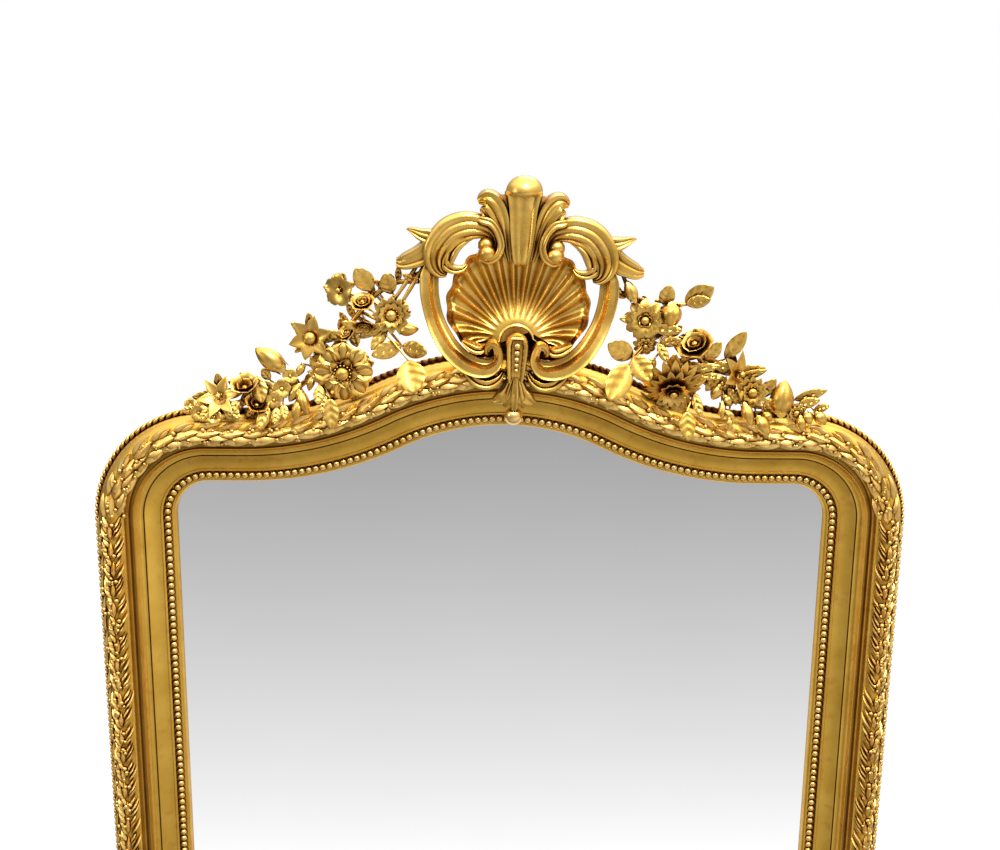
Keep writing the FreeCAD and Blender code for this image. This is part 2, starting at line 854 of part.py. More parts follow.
def strap(stations, section):
    """A carved strip: stations are (across, up, depth, half width, half thickness)."""
    rings = []
    for place, (across, up, depth, half, thick) in enumerate(stations):
        before = stations[max(place - 1, 0)]
        after = stations[min(place + 1, len(stations) - 1)]
        ahead = Vector(after[0] - before[0], after[1] - before[1], 0).normalize()
        outward = Vector(-ahead.y, ahead.x, 0)
        rings.append([
            crest_spot(across + outward.x * half * s, up + outward.y * half * s, depth + thick * t)
            for s, t in section
        ])
    return skin(rings)


RIDGED = [(-1, -1), (1, -1), (1, 0.2), (0, 1), (-1, 0.2)]
ROUNDED = [(-1, -1), (1, -1), (1, 0.2), (0.5, 1), (-0.5, 1), (-1, 0.2)]


def plume_leaf():
    """The upright leaf in the middle, with its tongue over the top of the shell."""
    back = front_seat
    stations = [
        (0, 199, back + 8, 6, 8),
        (0, 206, back + 10, 14, 10),
        (0, 226, back + 11, 17.5, 11),
        (0, 252, back + 9, 16.5, 9),
        (0, 272, back + 10, 19, 10),
        (0, 288, back + 11, 21, 11),
    ]
    return strap(stations, ROUNDED)


def plume_lobes():
    back = front_seat
    lobes = []
    for side in (-1, 1):
        stations = [
            (side * 24.4, 267, back + 7, 7, 6),
            (side * 33, 275, back + 9, 8, 7),
            (side * 44, 280, back + 10, 7, 7),
            (side * 56, 276, back + 9, 4, 5),
        ]
        lobes.append(strap(stations, RIDGED))
    return Part.makeCompound(lobes)


def spray(side):
    """Two pointed leaf ends that leave the scroll's shoulder, let in behind it."""
    thick = 4
    depth = front_seat - mm.seat_clearance - thick
    blades = []
    for row in (
        ((114, 212), (130, 218), (142, 221), (152, 229)),
        ((116, 196), (132, 200), (147, 198), (157, 190)),
    ):
        halves = (5, 8, 6, 1.5)
        stations = [(side * a, b, depth, half, thick) for (a, b), half in zip(row, halves)]
        blades.append(strap(stations, RIDGED))
    return Part.makeCompound(blades)


def finial():
    base = crest_spot(0, 288 + mm.seat_clearance, front_seat + 11)
    rings = [
        circle(12, mm.finial_radius * 0.85, 0),
        circle(12, mm.finial_radius, mm.finial_height * 0.2),
        circle(12, mm.finial_radius * 0.75, mm.finial_height * 0.7),
        circle(12, mm.finial_radius * 0.3, mm.finial_height),
    ]
    shape = skin(rings)
    shape.Placement = Placement(base, Rotation())
    return shape


def shell_boss():
    rings = [
        circle(12, mm.shell_boss_radius, 0),
        circle(12, mm.shell_boss_radius * 0.8, 9),
        circle(12, mm.shell_boss_radius * 0.4, 15),
    ]
    shape = skin(rings)
    seat = mm.shell_bowl_depth + mm.shell_thickness + mm.seat_clearance
    shape.Placement = Placement(crest_spot(0, 109, seat), Rotation(Vector(1, 0, 0), 90))
    return shape


# height, half width and half thickness of the bracket, from its foot to its top
BRACKET = [(53, 10, 8), (62, 12, 9), (88, 14, 10), (100, 13, 10), (106, 7, 8)]


def bracket_face(height):
    """How far the bracket's front stands out from its back at a height."""
    for (low, _, thin), (high, _, thick) in zip(BRACKET, BRACKET[1:]):
        if low <= height <= high:
            return 2 * (thin + (thick - thin) * (height - low) / (high - low))
    raise ValueError("no bracket at this height")


def pendant_bracket():
    return strap([(0, up, moulding_seat + thick, half, thick) for up, half, thick in BRACKET], ROUNDED)


def bead(radius, sides=6):
    return skin([
        [Vector(0, 0, -radius)],
        circle(sides, radius * 0.85, -radius / 2),
        circle(sides, radius * 0.85, radius / 2),
        [Vector(0, 0, radius)],
    ])


def pendant_pearls():
    """Five graduated pearls down the front of the bracket."""
    pearls = []
    height = 96
    for step in range(5):
        radius = mm.pearl_radius * (1 - 0.07 * step)
        height -= radius
        depth = moulding_seat + bracket_face(height) + mm.seat_clearance + radius
        pearl = bead(radius)
        pearl.Placement = Placement(crest_spot(0, height, depth), Rotation(Vector(1, 0, 0), 90))
        pearls.append(pearl)
        height -= radius + mm.seat_clearance
    return Part.makeCompound(pearls)


def pendant_husk():
    back = moulding_seat
    stations = [
        (0, 52.7, back + 8, 8, 8),
        (0, 40, back + 6, 11, 6),
        (0, 26, back + 4, 17, 6),
        (0, 13, back, 27, 5),
    ]
    return strap(stations, RIDGED)


def pendant_drop():
    shape = bead(mm.drop_radius, 10)
    height = 13 - mm.seat_clearance - mm.drop_radius
    shape.Placement = Placement(crest_spot(0, height, moulding_seat), Rotation())
    return shape


crest_pieces = {
    "shell": scallop_shell(),
    "shell_boss": shell_boss(),
    "left_scroll": scroll(-1),
    "right_scroll": scroll(1),
    "volute_bosses": volute_bosses(),
    "plume_leaf": plume_leaf(),
    "plume_lobes": plume_lobes(),
    "left_spray": spray(-1),
    "right_spray": spray(1),
    "finial": finial(),
    "pendant_bracket": pendant_bracket(),
    "pendant_pearls": pendant_pearls(),
    "pendant_husk": pendant_husk(),
    "pendant_drop": pendant_drop(),
}
for name, shape in crest_pieces.items():
    solid_piece(name, Part.makeCompound([shape]) if shape.ShapeType == "Solid" else shape, crest_place)


# ---------------------------------------------------------------- rails with their joints cut

right_stile = difference(
    "right_stile",
    stile_blank,
    group("right_stile_cuts", [right_keys["mitre"], right_keys["stile"], right_nails, right_screws]),
)
mirrored("left_stile", right_stile)
right_shoulder = difference(
    "right_shoulder",
    shoulder_blank,
    group("right_shoulder_cuts", [right_keys["stile"], right_keys["crown"], right_nails]),
)
mirrored("left_shoulder", right_shoulder)
difference(
    "bottom_rail",
    bottom_blank,
    group("bottom_rail_cuts", [doc.getObject("mitre_keys"), backboard_nails]),
)
difference(
    "crown_rail",
    crown_blank,
    group("crown_rail_cuts", [doc.getObject("crown_keys"), crest_dowels]),
)


# ---------------------------------------------------------------- garlands

garland_place = Placement(Vector(0, wall_y.number, mm.shoulder_height), Rotation())
outer_crown = mm.crown_radius + mm.moulding_width
outer_sweep = sweep_radius.number - mm.moulding_width
meeting_x = outer_crown * math.sin(joint_turn)
# depth of a leaf that lies flat on the torus, and height of a stem that lies on the frame's edge
LAID = moulding_seat + 1.6
STEM_RISE = mm.stem_radius + mm.seat_clearance


def edge_rise(x):
    """Height of the frame's top edge above the shoulders."""
    away = abs(x)
    if away <= meeting_x:
        return crown_top.number - mm.shoulder_height - outer_crown + math.sqrt(outer_crown**2 - x**2)
    if away < flat_x.number:
        return outer_sweep - math.sqrt(outer_sweep**2 - (flat_x.number - away) ** 2)
    round_start = max(away - corner_x.number, 0)
    outer_corner = mm.corner_radius + mm.moulding_width
    return math.sqrt(outer_corner**2 - round_start**2) - outer_corner


def perch(x, rise, depth):
    """A point by its distance right of centre, its height above the frame's edge and its depth."""
    return Vector(x, -depth, edge_rise(x) + rise)


def ring_across(spot, ahead, half_wide, half_thick, sides):
    """A ring round a stalk, flat side to the wall; half_wide is its reach in the front view."""
    front = Vector(0, -1, 0)
    beside = ahead.cross(front).normalize()
    over = beside.cross(ahead).normalize()
    turns = [math.pi / 2 + 2 * math.pi * place / sides for place in range(sides)]
    return [
        spot + beside * (half_wide * math.cos(turn)) + over * (half_thick * math.sin(turn))
        for turn in turns
    ]


def strand(spots, radius, sides):
    """A bent wire through the points."""
    rings = []
    for place, spot in enumerate(spots):
        ahead = (spots[min(place + 1, len(spots) - 1)] - spots[max(place - 1, 0)]).normalize()
        rings.append(ring_across(spot, ahead, radius, radius, sides))
    return skin(rings)


def nearest(line, spot):
    """The point of a bent line that lies nearest to a spot."""
    best = line[0]
    for start, finish in zip(line, line[1:]):
        run = finish - start
        share = min(max((spot - start).dot(run) / run.dot(run), 0), 1)
        candidate = start + run * share
        if (candidate - spot).Length < (best - spot).Length:
            best = candidate
    return best


def stem_root(stem, spot):
    """Where a stalk to the spot meets the surface of the stem."""
    foot = nearest(stem, spot)
    away = (spot - foot).normalize()
    return foot + away * (mm.stem_radius + mm.seat_clearance)


def stalk_end(root, centre, facing):
    """Where a stalk from its root stops just behind the back of a flower, whatever its slant."""
    along = (centre - root).normalize()
    slant = math.sqrt(1 - along.dot(facing) ** 2)
    return centre - facing * (mm.seat_clearance + mm.twig_radius * slant)


def sprig(stem, start, tip, half, shares, sides, thick):
    """A leaf or bud from start to tip; with a stem it has a stalk that reaches the stem."""
    run = tip - start
    ahead = Vector(run).normalize()
    rings = []
    if stem:
        root = stem_root(stem, start)
        along = (start - root).normalize()
        rings.append(ring_across(root, along, mm.twig_radius, mm.twig_radius, sides))
    for share, wide in shares:
        rings.append(ring_across(start + run * share, ahead, half * wide, thick or half * wide, sides))
    return skin(rings + [[tip]])


def leaf(stem, start, tip, width):
    return sprig(stem, start, tip, width / 2, ((0, 0.25), (0.35, 1), (0.75, 0.65)), 3, LEAF_THICKNESS)


def bud(stem, start, tip, width):
    return sprig(stem, start, tip, width / 2, ((0, 0.35), (0.4, 1), (0.75, 0.75)), 4, None)


def bloom(centre, facing, radius, petals, depth):
    """An open flower: a back cone, a rim with notches between the petals, a throat and a boss."""
    rim = []
    for tip, notch in zip(
        circle(petals, radius, depth * 0.6),
        circle(petals, radius * 0.7, depth * 0.5, math.pi / petals),
    ):
        rim += [tip, notch]
    rings = [[Vector()], rim, circle(petals * 2, radius * 0.3, depth * 0.6), [Vector(0, 0, depth)]]
    shape = skin(rings)
    shape.Placement = Placement(centre, Rotation(Vector(0, 0, 1), facing))
    return shape


LEAF_THICKNESS = 2.4
AHEAD = Vector(0, -1, 0)
# a flower that leans up this much lies on the outer flank of the torus and needs no stalk
LAID_LEAN = 1.3


def side_view(hand, spots):
    return [perch(hand * x, rise, depth) for x, rise, depth in spots]


def garland(hand, name, stem_spots, blooms, sprigs):
    """One side of the flowers; positions are (distance from the centre, rise, depth)."""
    stem = side_view(hand, stem_spots)
    wires = [strand(stem, mm.stem_radius, 5)]
    pieces = {}
    for label, spot, lean, radius, petals, depth in blooms:
        centre = perch(hand * spot[0], spot[1], spot[2])
        facing = (AHEAD + Vector(hand * lean[0], 0, lean[1])).normalize()
        shape = bloom(centre, facing, radius, petals, depth)
        pieces.setdefault(f"{name}_{label}", []).append(shape)
        if lean[1] >= LAID_LEAN:
            continue
        root = stem_root(stem, centre)
        wires.append(strand([root, stalk_end(root, centre, facing)], mm.twig_radius, 3))
    for label, held, start, tip, width in sprigs:
        make = leaf if label == "leaves" else bud
        shape = make(stem if held else None, *side_view(hand, [start, tip]), width)
        pieces.setdefault(f"{name}_{label}", []).append(shape)
    pieces[f"{name}_garland_stem"] = wires
    for label, shapes in pieces.items():
        solid_piece(label, Part.makeCompound(shapes), garland_place)


garland(
    -1,
    "left",
    [
        *[(x, STEM_RISE, mm.stem_depth) for x in (402, 372, 335)], (295, 10, 46), (262, 22, 48),
        (235, 45, 50), (205, 75, 50), (172, 102, 50), (140, 110, 52), (110, 104, 62),
    ],
    [
        ("anemone", (205, 31, 60), (0.1, 0.1), 38, 9, 24),
        ("narcissus", (245, 85, 64), (0.2, 0.2), 28, 6, 20),
        ("lily", (363, 17, 60), (0.1, 0), 21, 6, 18),
        ("cup_flower", (331, 29, 62), (0.2, 0.3), 17, 5, 20),
        ("trumpet_flower", (208, 137, 58), (0.4, 0.4), 17, 5, 20),
        ("daisies", (142, 75, 62), (0, 0.1), 21, 10, 14),
        ("roses", (177, 95, 64), (0, 0.1), 12, 5, 16),
        ("forget_me_nots", (388, 4, 66), (0.2, 0.1), 9, 4, 8),
        ("forget_me_nots", (374, -14, 71), (0, LAID_LEAN), 9, 4, 8),
        ("forget_me_nots", (395, -14, 71), (0.2, LAID_LEAN), 8, 4, 8),
    ],
    [
        ("buds", True, (287, 56, 60), (315, 84, 64), 20),
        ("buds", True, (272, 24, 66), (266, 2, 68), 13),
        ("buds", False, (256, -8, LAID + 2.5), (250, -30, LAID + 4.5), 13),
        ("buds", True, (340, -2, 70), (346, -20, 88), 10),
        ("leaves", False, (222, -16, LAID), (228, -56, LAID), 17),
        ("leaves", False, (121, -2, LAID), (121, -40, LAID), 34),
        ("leaves", False, (296, -14, LAID), (318, -24, LAID), 14),
        ("leaves", True, (192, 88, 58), (200, 110, 62), 12),
        ("leaves", True, (150, 30, 56), (132, 40, 56), 18),
        ("leaves", True, (168, 122, 56), (182, 146, 60), 18),
        ("leaves", True, (150, 120, 56), (132, 128, 58), 16),
        ("leaves", True, (398, 12, 56), (418, 6, 58), 12),
        ("leaves", True, (310, 30, 56), (296, 50, 58), 13),
    ],
)
garland(
    1,
    "right",
    [
        *[(x, STEM_RISE, mm.stem_depth) for x in (402, 372, 335)], (300, 14, 46), (262, 30, 48),
        (235, 55, 50), (205, 85, 50), (178, 104, 50), (147, 104, 62),
    ],
    [
        ("chrysanthemum", (225, 17, 70), (0, -0.15), 38, 12, 26),
        ("rose", (245, 78, 64), (0.1, 0.1), 22, 7, 22),
        ("zinnia", (178, 89, 62), (-0.1, 0.1), 22, 10, 16),
        ("lily", (314, 63, 60), (0.3, 0.5), 26, 5, 22),
        ("daisies", (317, 27, 64), (0, 0), 19, 8, 14),
        ("daisies", (378, -2, 68), (0, 0), 8, 5, 8),
    ],
    [
        ("buds", True, (164, 124, 68), (152, 146, 68), 16),
        ("buds", True, (207, 103, 60), (214, 122, 62), 18),
        ("buds", True, (358, 28, 64), (366, 4, 70), 18),
        ("buds", True, (276, 30, 62), (268, 12, 68), 14),
        ("buds", True, (283, 2, 66), (288, -14, 82), 11),
        ("buds", True, (318, 0, 66), (321, -16, 82), 11),
        ("buds", True, (340, -4, 68), (338, -20, 86), 11),
        ("buds", True, (408, 14, 56), (422, 14, 58), 10),
        ("buds", True, (396, 2, 66), (400, -12, 78), 10),
        ("leaves", True, (208, 118, 54), (214, 146, 56), 16),
        ("leaves", True, (230, 132, 54), (266, 150, 58), 28),
        ("leaves", True, (284, 62, 56), (308, 108, 60), 14),
        ("leaves", False, (162, -4, 56), (136, 24, 59), 18),
        ("leaves", False, (152, -4, LAID), (140, -34, LAID), 20),
        ("leaves", False, (246, -28, LAID), (252, -66, LAID), 16),
        ("leaves", True, (390, 24, 56), (412, 32, 58), 14),
        ("leaves", True, (268, 96, 54), (276, 120, 56), 14),
    ],
)

# ---------------------------------------------------------------- check and write every piece

NODES = [
    "bottom_rail", "left_stile", "right_stile", "left_shoulder", "right_shoulder", "crown_rail",
    "mitre_keys", "stile_keys", "crown_keys", "mirror_plate", "glazing_blocks", *BOARD_NAMES,
    "backboard_nails", "left_hanger_plate", "right_hanger_plate", "left_hanger_ring",
    "right_hanger_ring", "hanger_screws", "crest_block", "crest_dowels", *crest_pieces,
    "left_garland_stem", "left_anemone", "left_narcissus", "left_lily", "left_cup_flower",
    "left_trumpet_flower", "left_daisies", "left_roses", "left_forget_me_nots", "left_buds",
    "left_leaves", "right_garland_stem", "right_chrysanthemum", "right_rose", "right_zinnia",
    "right_lily", "right_daisies", "right_buds", "right_leaves",
]

doc.recompute()
for thing in doc.Objects:
    if "Invalid" in thing.State or "Error" in thing.State:
        raise RuntimeError(f"{thing.Label} is {thing.State}")
os.makedirs("parts", exist_ok=True)
for label in NODES:
    (thing,) = doc.getObjectsByLabel(label)
    shape = thing.Shape
    if shape.isNull() or not shape.isValid() or not shape.Solids:
        raise RuntimeError(f"{label} has no sound shape")
    shape.exportStep(f"parts/{label}.step")
print(f"{len(NODES)} pieces written")
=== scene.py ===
# %% [markdown]
# # A tall gilt mirror
# A carved and gilded frame holds a tall mirror plate. The frame's pieces come from the packed
# model at their real size, and this lesson dresses them: it models the carving that the plain
# pieces leave out, and gives each surface its finish. Everything is in metres, in one frame:
# +X to the right, +Z up, and the front of the mirror looks along -Y.

# %% Load the frame
import json
import math
import random
from collections import defaultdict

import bmesh
import bpy
from mathutils import Matrix, Vector

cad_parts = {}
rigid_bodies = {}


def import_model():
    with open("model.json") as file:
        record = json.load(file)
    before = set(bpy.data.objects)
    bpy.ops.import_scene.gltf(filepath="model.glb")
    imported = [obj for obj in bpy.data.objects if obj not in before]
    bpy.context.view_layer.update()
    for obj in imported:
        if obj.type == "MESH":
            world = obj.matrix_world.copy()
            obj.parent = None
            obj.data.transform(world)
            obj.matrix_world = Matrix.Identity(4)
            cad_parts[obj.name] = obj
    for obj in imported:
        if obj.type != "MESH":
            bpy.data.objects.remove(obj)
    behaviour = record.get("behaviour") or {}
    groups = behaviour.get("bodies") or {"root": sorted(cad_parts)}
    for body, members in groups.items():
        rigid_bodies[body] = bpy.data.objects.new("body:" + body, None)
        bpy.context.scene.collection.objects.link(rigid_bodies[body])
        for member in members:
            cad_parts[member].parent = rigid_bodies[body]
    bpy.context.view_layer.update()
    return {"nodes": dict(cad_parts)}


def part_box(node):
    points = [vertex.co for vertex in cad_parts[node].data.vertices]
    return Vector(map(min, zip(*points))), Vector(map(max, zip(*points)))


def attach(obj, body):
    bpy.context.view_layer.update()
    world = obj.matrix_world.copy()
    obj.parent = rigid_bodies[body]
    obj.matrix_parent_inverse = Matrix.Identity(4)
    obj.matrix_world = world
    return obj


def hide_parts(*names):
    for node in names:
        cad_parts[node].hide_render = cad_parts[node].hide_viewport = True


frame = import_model()
MM = 0.001
FRONT = Vector((0, -1, 0))
print("nodes", len(frame["nodes"]))

# %% [markdown]
# ## Reading the frame's sizes
# The outline isn't measured again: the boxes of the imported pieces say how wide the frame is, how
# wide its moulding is, and where the straight stiles end. Only the bends of the arched top are
# named here, because a box can't tell a radius.

# %% Outline sizes
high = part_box("bottom_rail")[1]
HALF_WIDTH = high.x
MOULDING = high.z
WALL_Y = high.y
CORNER_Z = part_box("right_stile")[1].z
CROWN_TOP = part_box("crown_rail")[1].z
CORNER_RADIUS = 45 * MM
SHOULDER_FLAT = 50 * MM
CROWN_RADIUS = 297 * MM
SWEEP = math.radians(26.3)
HALF_SIGHT = HALF_WIDTH - MOULDING
SIGHT_TOP = CORNER_Z + CORNER_RADIUS
CORNER_X = HALF_SIGHT - CORNER_RADIUS
FLAT_X = CORNER_X - SHOULDER_FLAT
SWEEP_RADIUS = FLAT_X / math.sin(SWEEP) - CROWN_RADIUS
SWEEP_Z = SIGHT_TOP + SWEEP_RADIUS
CROWN_Z = CROWN_TOP - CROWN_RADIUS - MOULDING
print("frame", round(HALF_WIDTH * 2, 3), "wide, crown at", round(CROWN_TOP, 3))

# %% [markdown]
# ## Camera
# The camera stands where the picture was taken from: a little left of the middle, above the
# crest and looking down. A lens is a focal length on a sensor, so 1400 pixels on a picture
# 1000 wide become 50.4 mm on a 36 mm sensor.

# %% Camera
PHOTO_WIDTH, PHOTO_HEIGHT = 1000, 850
FOCAL_PIXELS = 1400
SENSOR = 36
CAMERA_PLACE = (-0.0401, -1.8115, 1.9452)
yaw, pitch, tilt = math.radians(1.158), math.radians(14.464), math.radians(-0.665)
VIEW_AHEAD = Vector((math.sin(yaw) * math.cos(pitch), math.cos(yaw) * math.cos(pitch), -math.sin(pitch)))
level = Vector((math.cos(yaw), -math.sin(yaw), 0))
plumb = VIEW_AHEAD.cross(level)
VIEW_ACROSS = level * math.cos(tilt) + plumb * math.sin(tilt)
VIEW_DOWN = plumb * math.cos(tilt) - level * math.sin(tilt)

camera_data = bpy.data.cameras.new("camera")
camera_data.sensor_width = SENSOR
camera_data.lens = SENSOR * FOCAL_PIXELS / PHOTO_WIDTH
camera = bpy.data.objects.new("camera", camera_data)
bpy.context.scene.collection.objects.link(camera)
turn = Matrix((VIEW_ACROSS, -VIEW_DOWN, -VIEW_AHEAD)).transposed().to_4x4()
camera.matrix_world = Matrix.Translation(CAMERA_PLACE) @ turn
bpy.context.scene.camera = camera
bpy.context.scene.view_settings.view_transform = "Standard"
print("lens", round(camera_data.lens, 1))

# %% [markdown]
# ## Floor, light and sky
# Gold has no colour of its own to show: it shows what stands around it, tinted. So the room
# matters as much as the finish. A bright ceiling, a mid-grey room and a glowing floor that is darkest
# by the wall give each carved form a light top, a plain face and a brown underside. The camera and
# the glass see that glowing floor another way: a pale paper with painted shade, white by the mirror
# and greyer away from it.

# %% Node helpers


def new_material(name):
    """An empty node material with its output, ready for a shader."""
    material = bpy.data.materials.new(name)
    material.use_nodes = True
    tree = material.node_tree
    tree.nodes.clear()
    tree.nodes.new("ShaderNodeOutputMaterial")
    return material, tree


def ramp(tree, source, stops):
    """A colour ramp on a socket; stops are (place, colour), and one number is a grey."""
    node = tree.nodes.new("ShaderNodeValToRGB")
    tree.links.new(source, node.inputs["Fac"])
    while len(node.color_ramp.elements) < len(stops):
        node.color_ramp.elements.new(0.5)
    for element, (place, colour) in zip(node.color_ramp.elements, stops):
        element.position = place
        element.color = (*colour, 1) if isinstance(colour, tuple) else (colour, colour, colour, 1)
    return node.outputs["Color"]


def map_range(tree, source, span, onto):
    """Carries the numbers of one span onto another."""
    node = tree.nodes.new("ShaderNodeMapRange")
    for name, value in zip(("From Min", "From Max", "To Min", "To Max"), (*span, *onto)):
        node.inputs[name].default_value = value
    tree.links.new(source, node.inputs["Value"])
    return node.outputs[0]


def sum_node(tree, operation, first, second):
    """One step of arithmetic; each side is a socket or a number."""
    node = tree.nodes.new("ShaderNodeMath")
    node.operation = operation
    for socket, value in zip(node.inputs, (first, second)):
        if isinstance(value, bpy.types.NodeSocket):
            tree.links.new(value, socket)
        else:
            socket.default_value = value
    return node.outputs[0]


# %% Floor
FLOOR_REACH = 9.0
# The floor glows and is no lamp. To the camera and the glass its glow is painted shade: even near the wall,
# then greyer with distance into the room.
PAINTED_GLOW_PEAK, PAINTED_SHADE_FADE, PAINTED_GLOW_EVEN_TO = 1.36, -0.69, 1.3
DIM_BY_WALL, DIM_IN_ROOM = 0.36, 0.66
DIM_FROM_Y, DIM_TO_Y = -0.5, -1.7
DIM_SIDE_SLOPE, DIM_SIDE_LEAST = 0.16, 0.4

floor_material, tree = new_material("glowing_floor")
place = tree.nodes.new("ShaderNodeTexCoord")
split = tree.nodes.new("ShaderNodeSeparateXYZ")
tree.links.new(place.outputs["Object"], split.inputs[0])
into_room = sum_node(tree, "MULTIPLY", split.outputs["Y"], -1.0)
from_wall = sum_node(tree, "MAXIMUM", into_room, PAINTED_GLOW_EVEN_TO)
# Painted shade: the floor's glow falls off with distance from the wall.
painted_shade_glow = sum_node(tree, "MULTIPLY", sum_node(tree, "POWER", from_wall, PAINTED_SHADE_FADE), PAINTED_GLOW_PEAK)
toward_room = map_range(tree, split.outputs["Y"], (DIM_FROM_Y, DIM_TO_Y), (DIM_BY_WALL, DIM_IN_ROOM))
slope = sum_node(tree, "MULTIPLY", split.outputs["X"], DIM_SIDE_SLOPE)
sideways = sum_node(tree, "MAXIMUM", sum_node(tree, "ADD", slope, 1.0), DIM_SIDE_LEAST)
dim = sum_node(tree, "MULTIPLY", toward_room, sideways)
ray_kind = tree.nodes.new("ShaderNodeLightPath")
clear_view = sum_node(tree, "MAXIMUM", ray_kind.outputs["Is Camera Ray"], ray_kind.outputs["Is Singular Ray"])
clear_part = sum_node(tree, "MULTIPLY", clear_view, painted_shade_glow)
blurred_part = sum_node(tree, "MULTIPLY", sum_node(tree, "SUBTRACT", 1.0, clear_view), dim)
floor_shader = tree.nodes.new("ShaderNodeEmission")
tree.links.new(sum_node(tree, "ADD", clear_part, blurred_part), floor_shader.inputs["Strength"])
tree.links.new(floor_shader.outputs[0], tree.nodes["Material Output"].inputs["Surface"])

floor_bm = bmesh.new()
bmesh.ops.create_grid(floor_bm, x_segments=1, y_segments=1, size=FLOOR_REACH)
floor_mesh = bpy.data.meshes.new("floor")
floor_bm.to_mesh(floor_mesh)
floor_bm.free()
floor_mesh.materials.append(floor_material)
floor = bpy.data.objects.new("floor", floor_mesh)
bpy.context.scene.collection.objects.link(floor)

# %% Light and sky
SKY_STOPS = [(0.0, 0.05), (0.4, 0.2), (0.52, 0.3), (0.7, 0.46), (0.86, 1.35)]
SKY_STRENGTH, SKY_SIDE_SLOPE = 1.6, 0.5

world = bpy.data.worlds.new("studio")
bpy.context.scene.world = world
world.use_nodes = True
tree = world.node_tree
tree.nodes.clear()
sky_place = tree.nodes.new("ShaderNodeTexCoord")
sky_split = tree.nodes.new("ShaderNodeSeparateXYZ")
tree.links.new(sky_place.outputs["Generated"], sky_split.inputs[0])
sky_height = map_range(tree, sky_split.outputs["Z"], (-1, 1), (0, 1))
studio = tree.nodes.new("ShaderNodeBackground")
tree.links.new(ramp(tree, sky_height, SKY_STOPS), studio.inputs["Color"])
sky_side = sum_node(tree, "MULTIPLY", sky_split.outputs["X"], SKY_SIDE_SLOPE)
tree.links.new(sum_node(tree, "ADD", sky_side, SKY_STRENGTH), studio.inputs["Strength"])
backdrop = tree.nodes.new("ShaderNodeBackground")
backdrop.inputs["Color"].default_value = (1, 1, 1, 1)
rays = tree.nodes.new("ShaderNodeLightPath")
choose = tree.nodes.new("ShaderNodeMixShader")
tree.links.new(rays.outputs["Is Camera Ray"], choose.inputs[0])
tree.links.new(studio.outputs[0], choose.inputs[1])
tree.links.new(backdrop.outputs[0], choose.inputs[2])
sky_output = tree.nodes.new("ShaderNodeOutputWorld")
tree.links.new(choose.outputs[0], sky_output.inputs["Surface"])


def soft_light(name, where, target, size, watts):
    """A square soft box that looks at a point."""
    light = bpy.data.lights.new(name, "AREA")
    light.size = size
    light.energy = watts
    lamp = bpy.data.objects.new(name, light)
    bpy.context.scene.collection.objects.link(lamp)
    lamp.location = where
    lamp.rotation_euler = (Vector(target) - Vector(where)).to_track_quat("-Z", "Y").to_euler()


soft_light("key", (0.35, -1.5, 3.6), (0, 0, 1.4), 1.1, 52)
soft_light("left_strip", (-2.3, -1.2, 2.3), (0, 0, 1.2), 0.7, 7)
soft_light("behind", (0.3, 1.6, 3.3), (0, 0, 1.4), 1.4, 14)

# %% [markdown]
# ## Gilding
# Gold leaf lies over a red clay called bole. It is bright where a thumb or a duster rubs it, the
# clay shows through on sharp edges, and the hollows turn brown: dirt and old toning stay there,
# and painted shade darkens them too. Ambient occlusion finds the hollows, so one finish serves
# every carved piece: the deeper the cut, the browner it is. Fine noise breaks up the leaf, and a
# faint bump is the brush marks in the gesso.

# %% Gilding materials


def noise(tree, place, scale, detail=3.0):
    node = tree.nodes.new("ShaderNodeTexNoise")
    node.inputs["Scale"].default_value = scale
    node.inputs["Detail"].default_value = detail
    tree.links.new(place, node.inputs["Vector"])
    return node.outputs["Fac"]


def blended(tree, share, first, second, how="MIX"):
    """Mixes two colours; each is a socket or three numbers."""
    node = tree.nodes.new("ShaderNodeMix")
    node.data_type = "RGBA"
    node.blend_type = how
    for socket, value in ((node.inputs[0], share), (node.inputs[6], first), (node.inputs[7], second)):
        if isinstance(value, bpy.types.NodeSocket):
            tree.links.new(value, socket)
        else:
            socket.default_value = value if isinstance(value, float) else (*value, 1)
    return node.outputs[2]


def new_finish(name, metallic=0.0, roughness=0.5):
    """(material, tree, place, shader): a shader joined to its output, and Object coordinates."""
    material, tree = new_material(name)
    place = tree.nodes.new("ShaderNodeTexCoord").outputs["Object"]
    shader = tree.nodes.new("ShaderNodeBsdfPrincipled")
    shader.inputs["Metallic"].default_value = metallic
    shader.inputs["Roughness"].default_value = roughness
    tree.links.new(shader.outputs[0], tree.nodes["Material Output"].inputs["Surface"])
    return material, tree, place, shader


def bumped(tree, shader, pattern, strength, distance):
    """Fine relief from a pattern; distance is its height in metres."""
    bump = tree.nodes.new("ShaderNodeBump")
    bump.inputs["Strength"].default_value = strength
    bump.inputs["Distance"].default_value = distance
    tree.links.new(pattern, bump.inputs["Height"])
    tree.links.new(bump.outputs[0], shader.inputs["Normal"])


RED_CLAY = (0.55, 0.2, 0.04)
DIRT_AND_SHADE_BROWN = (0.13, 0.035, 0.004)


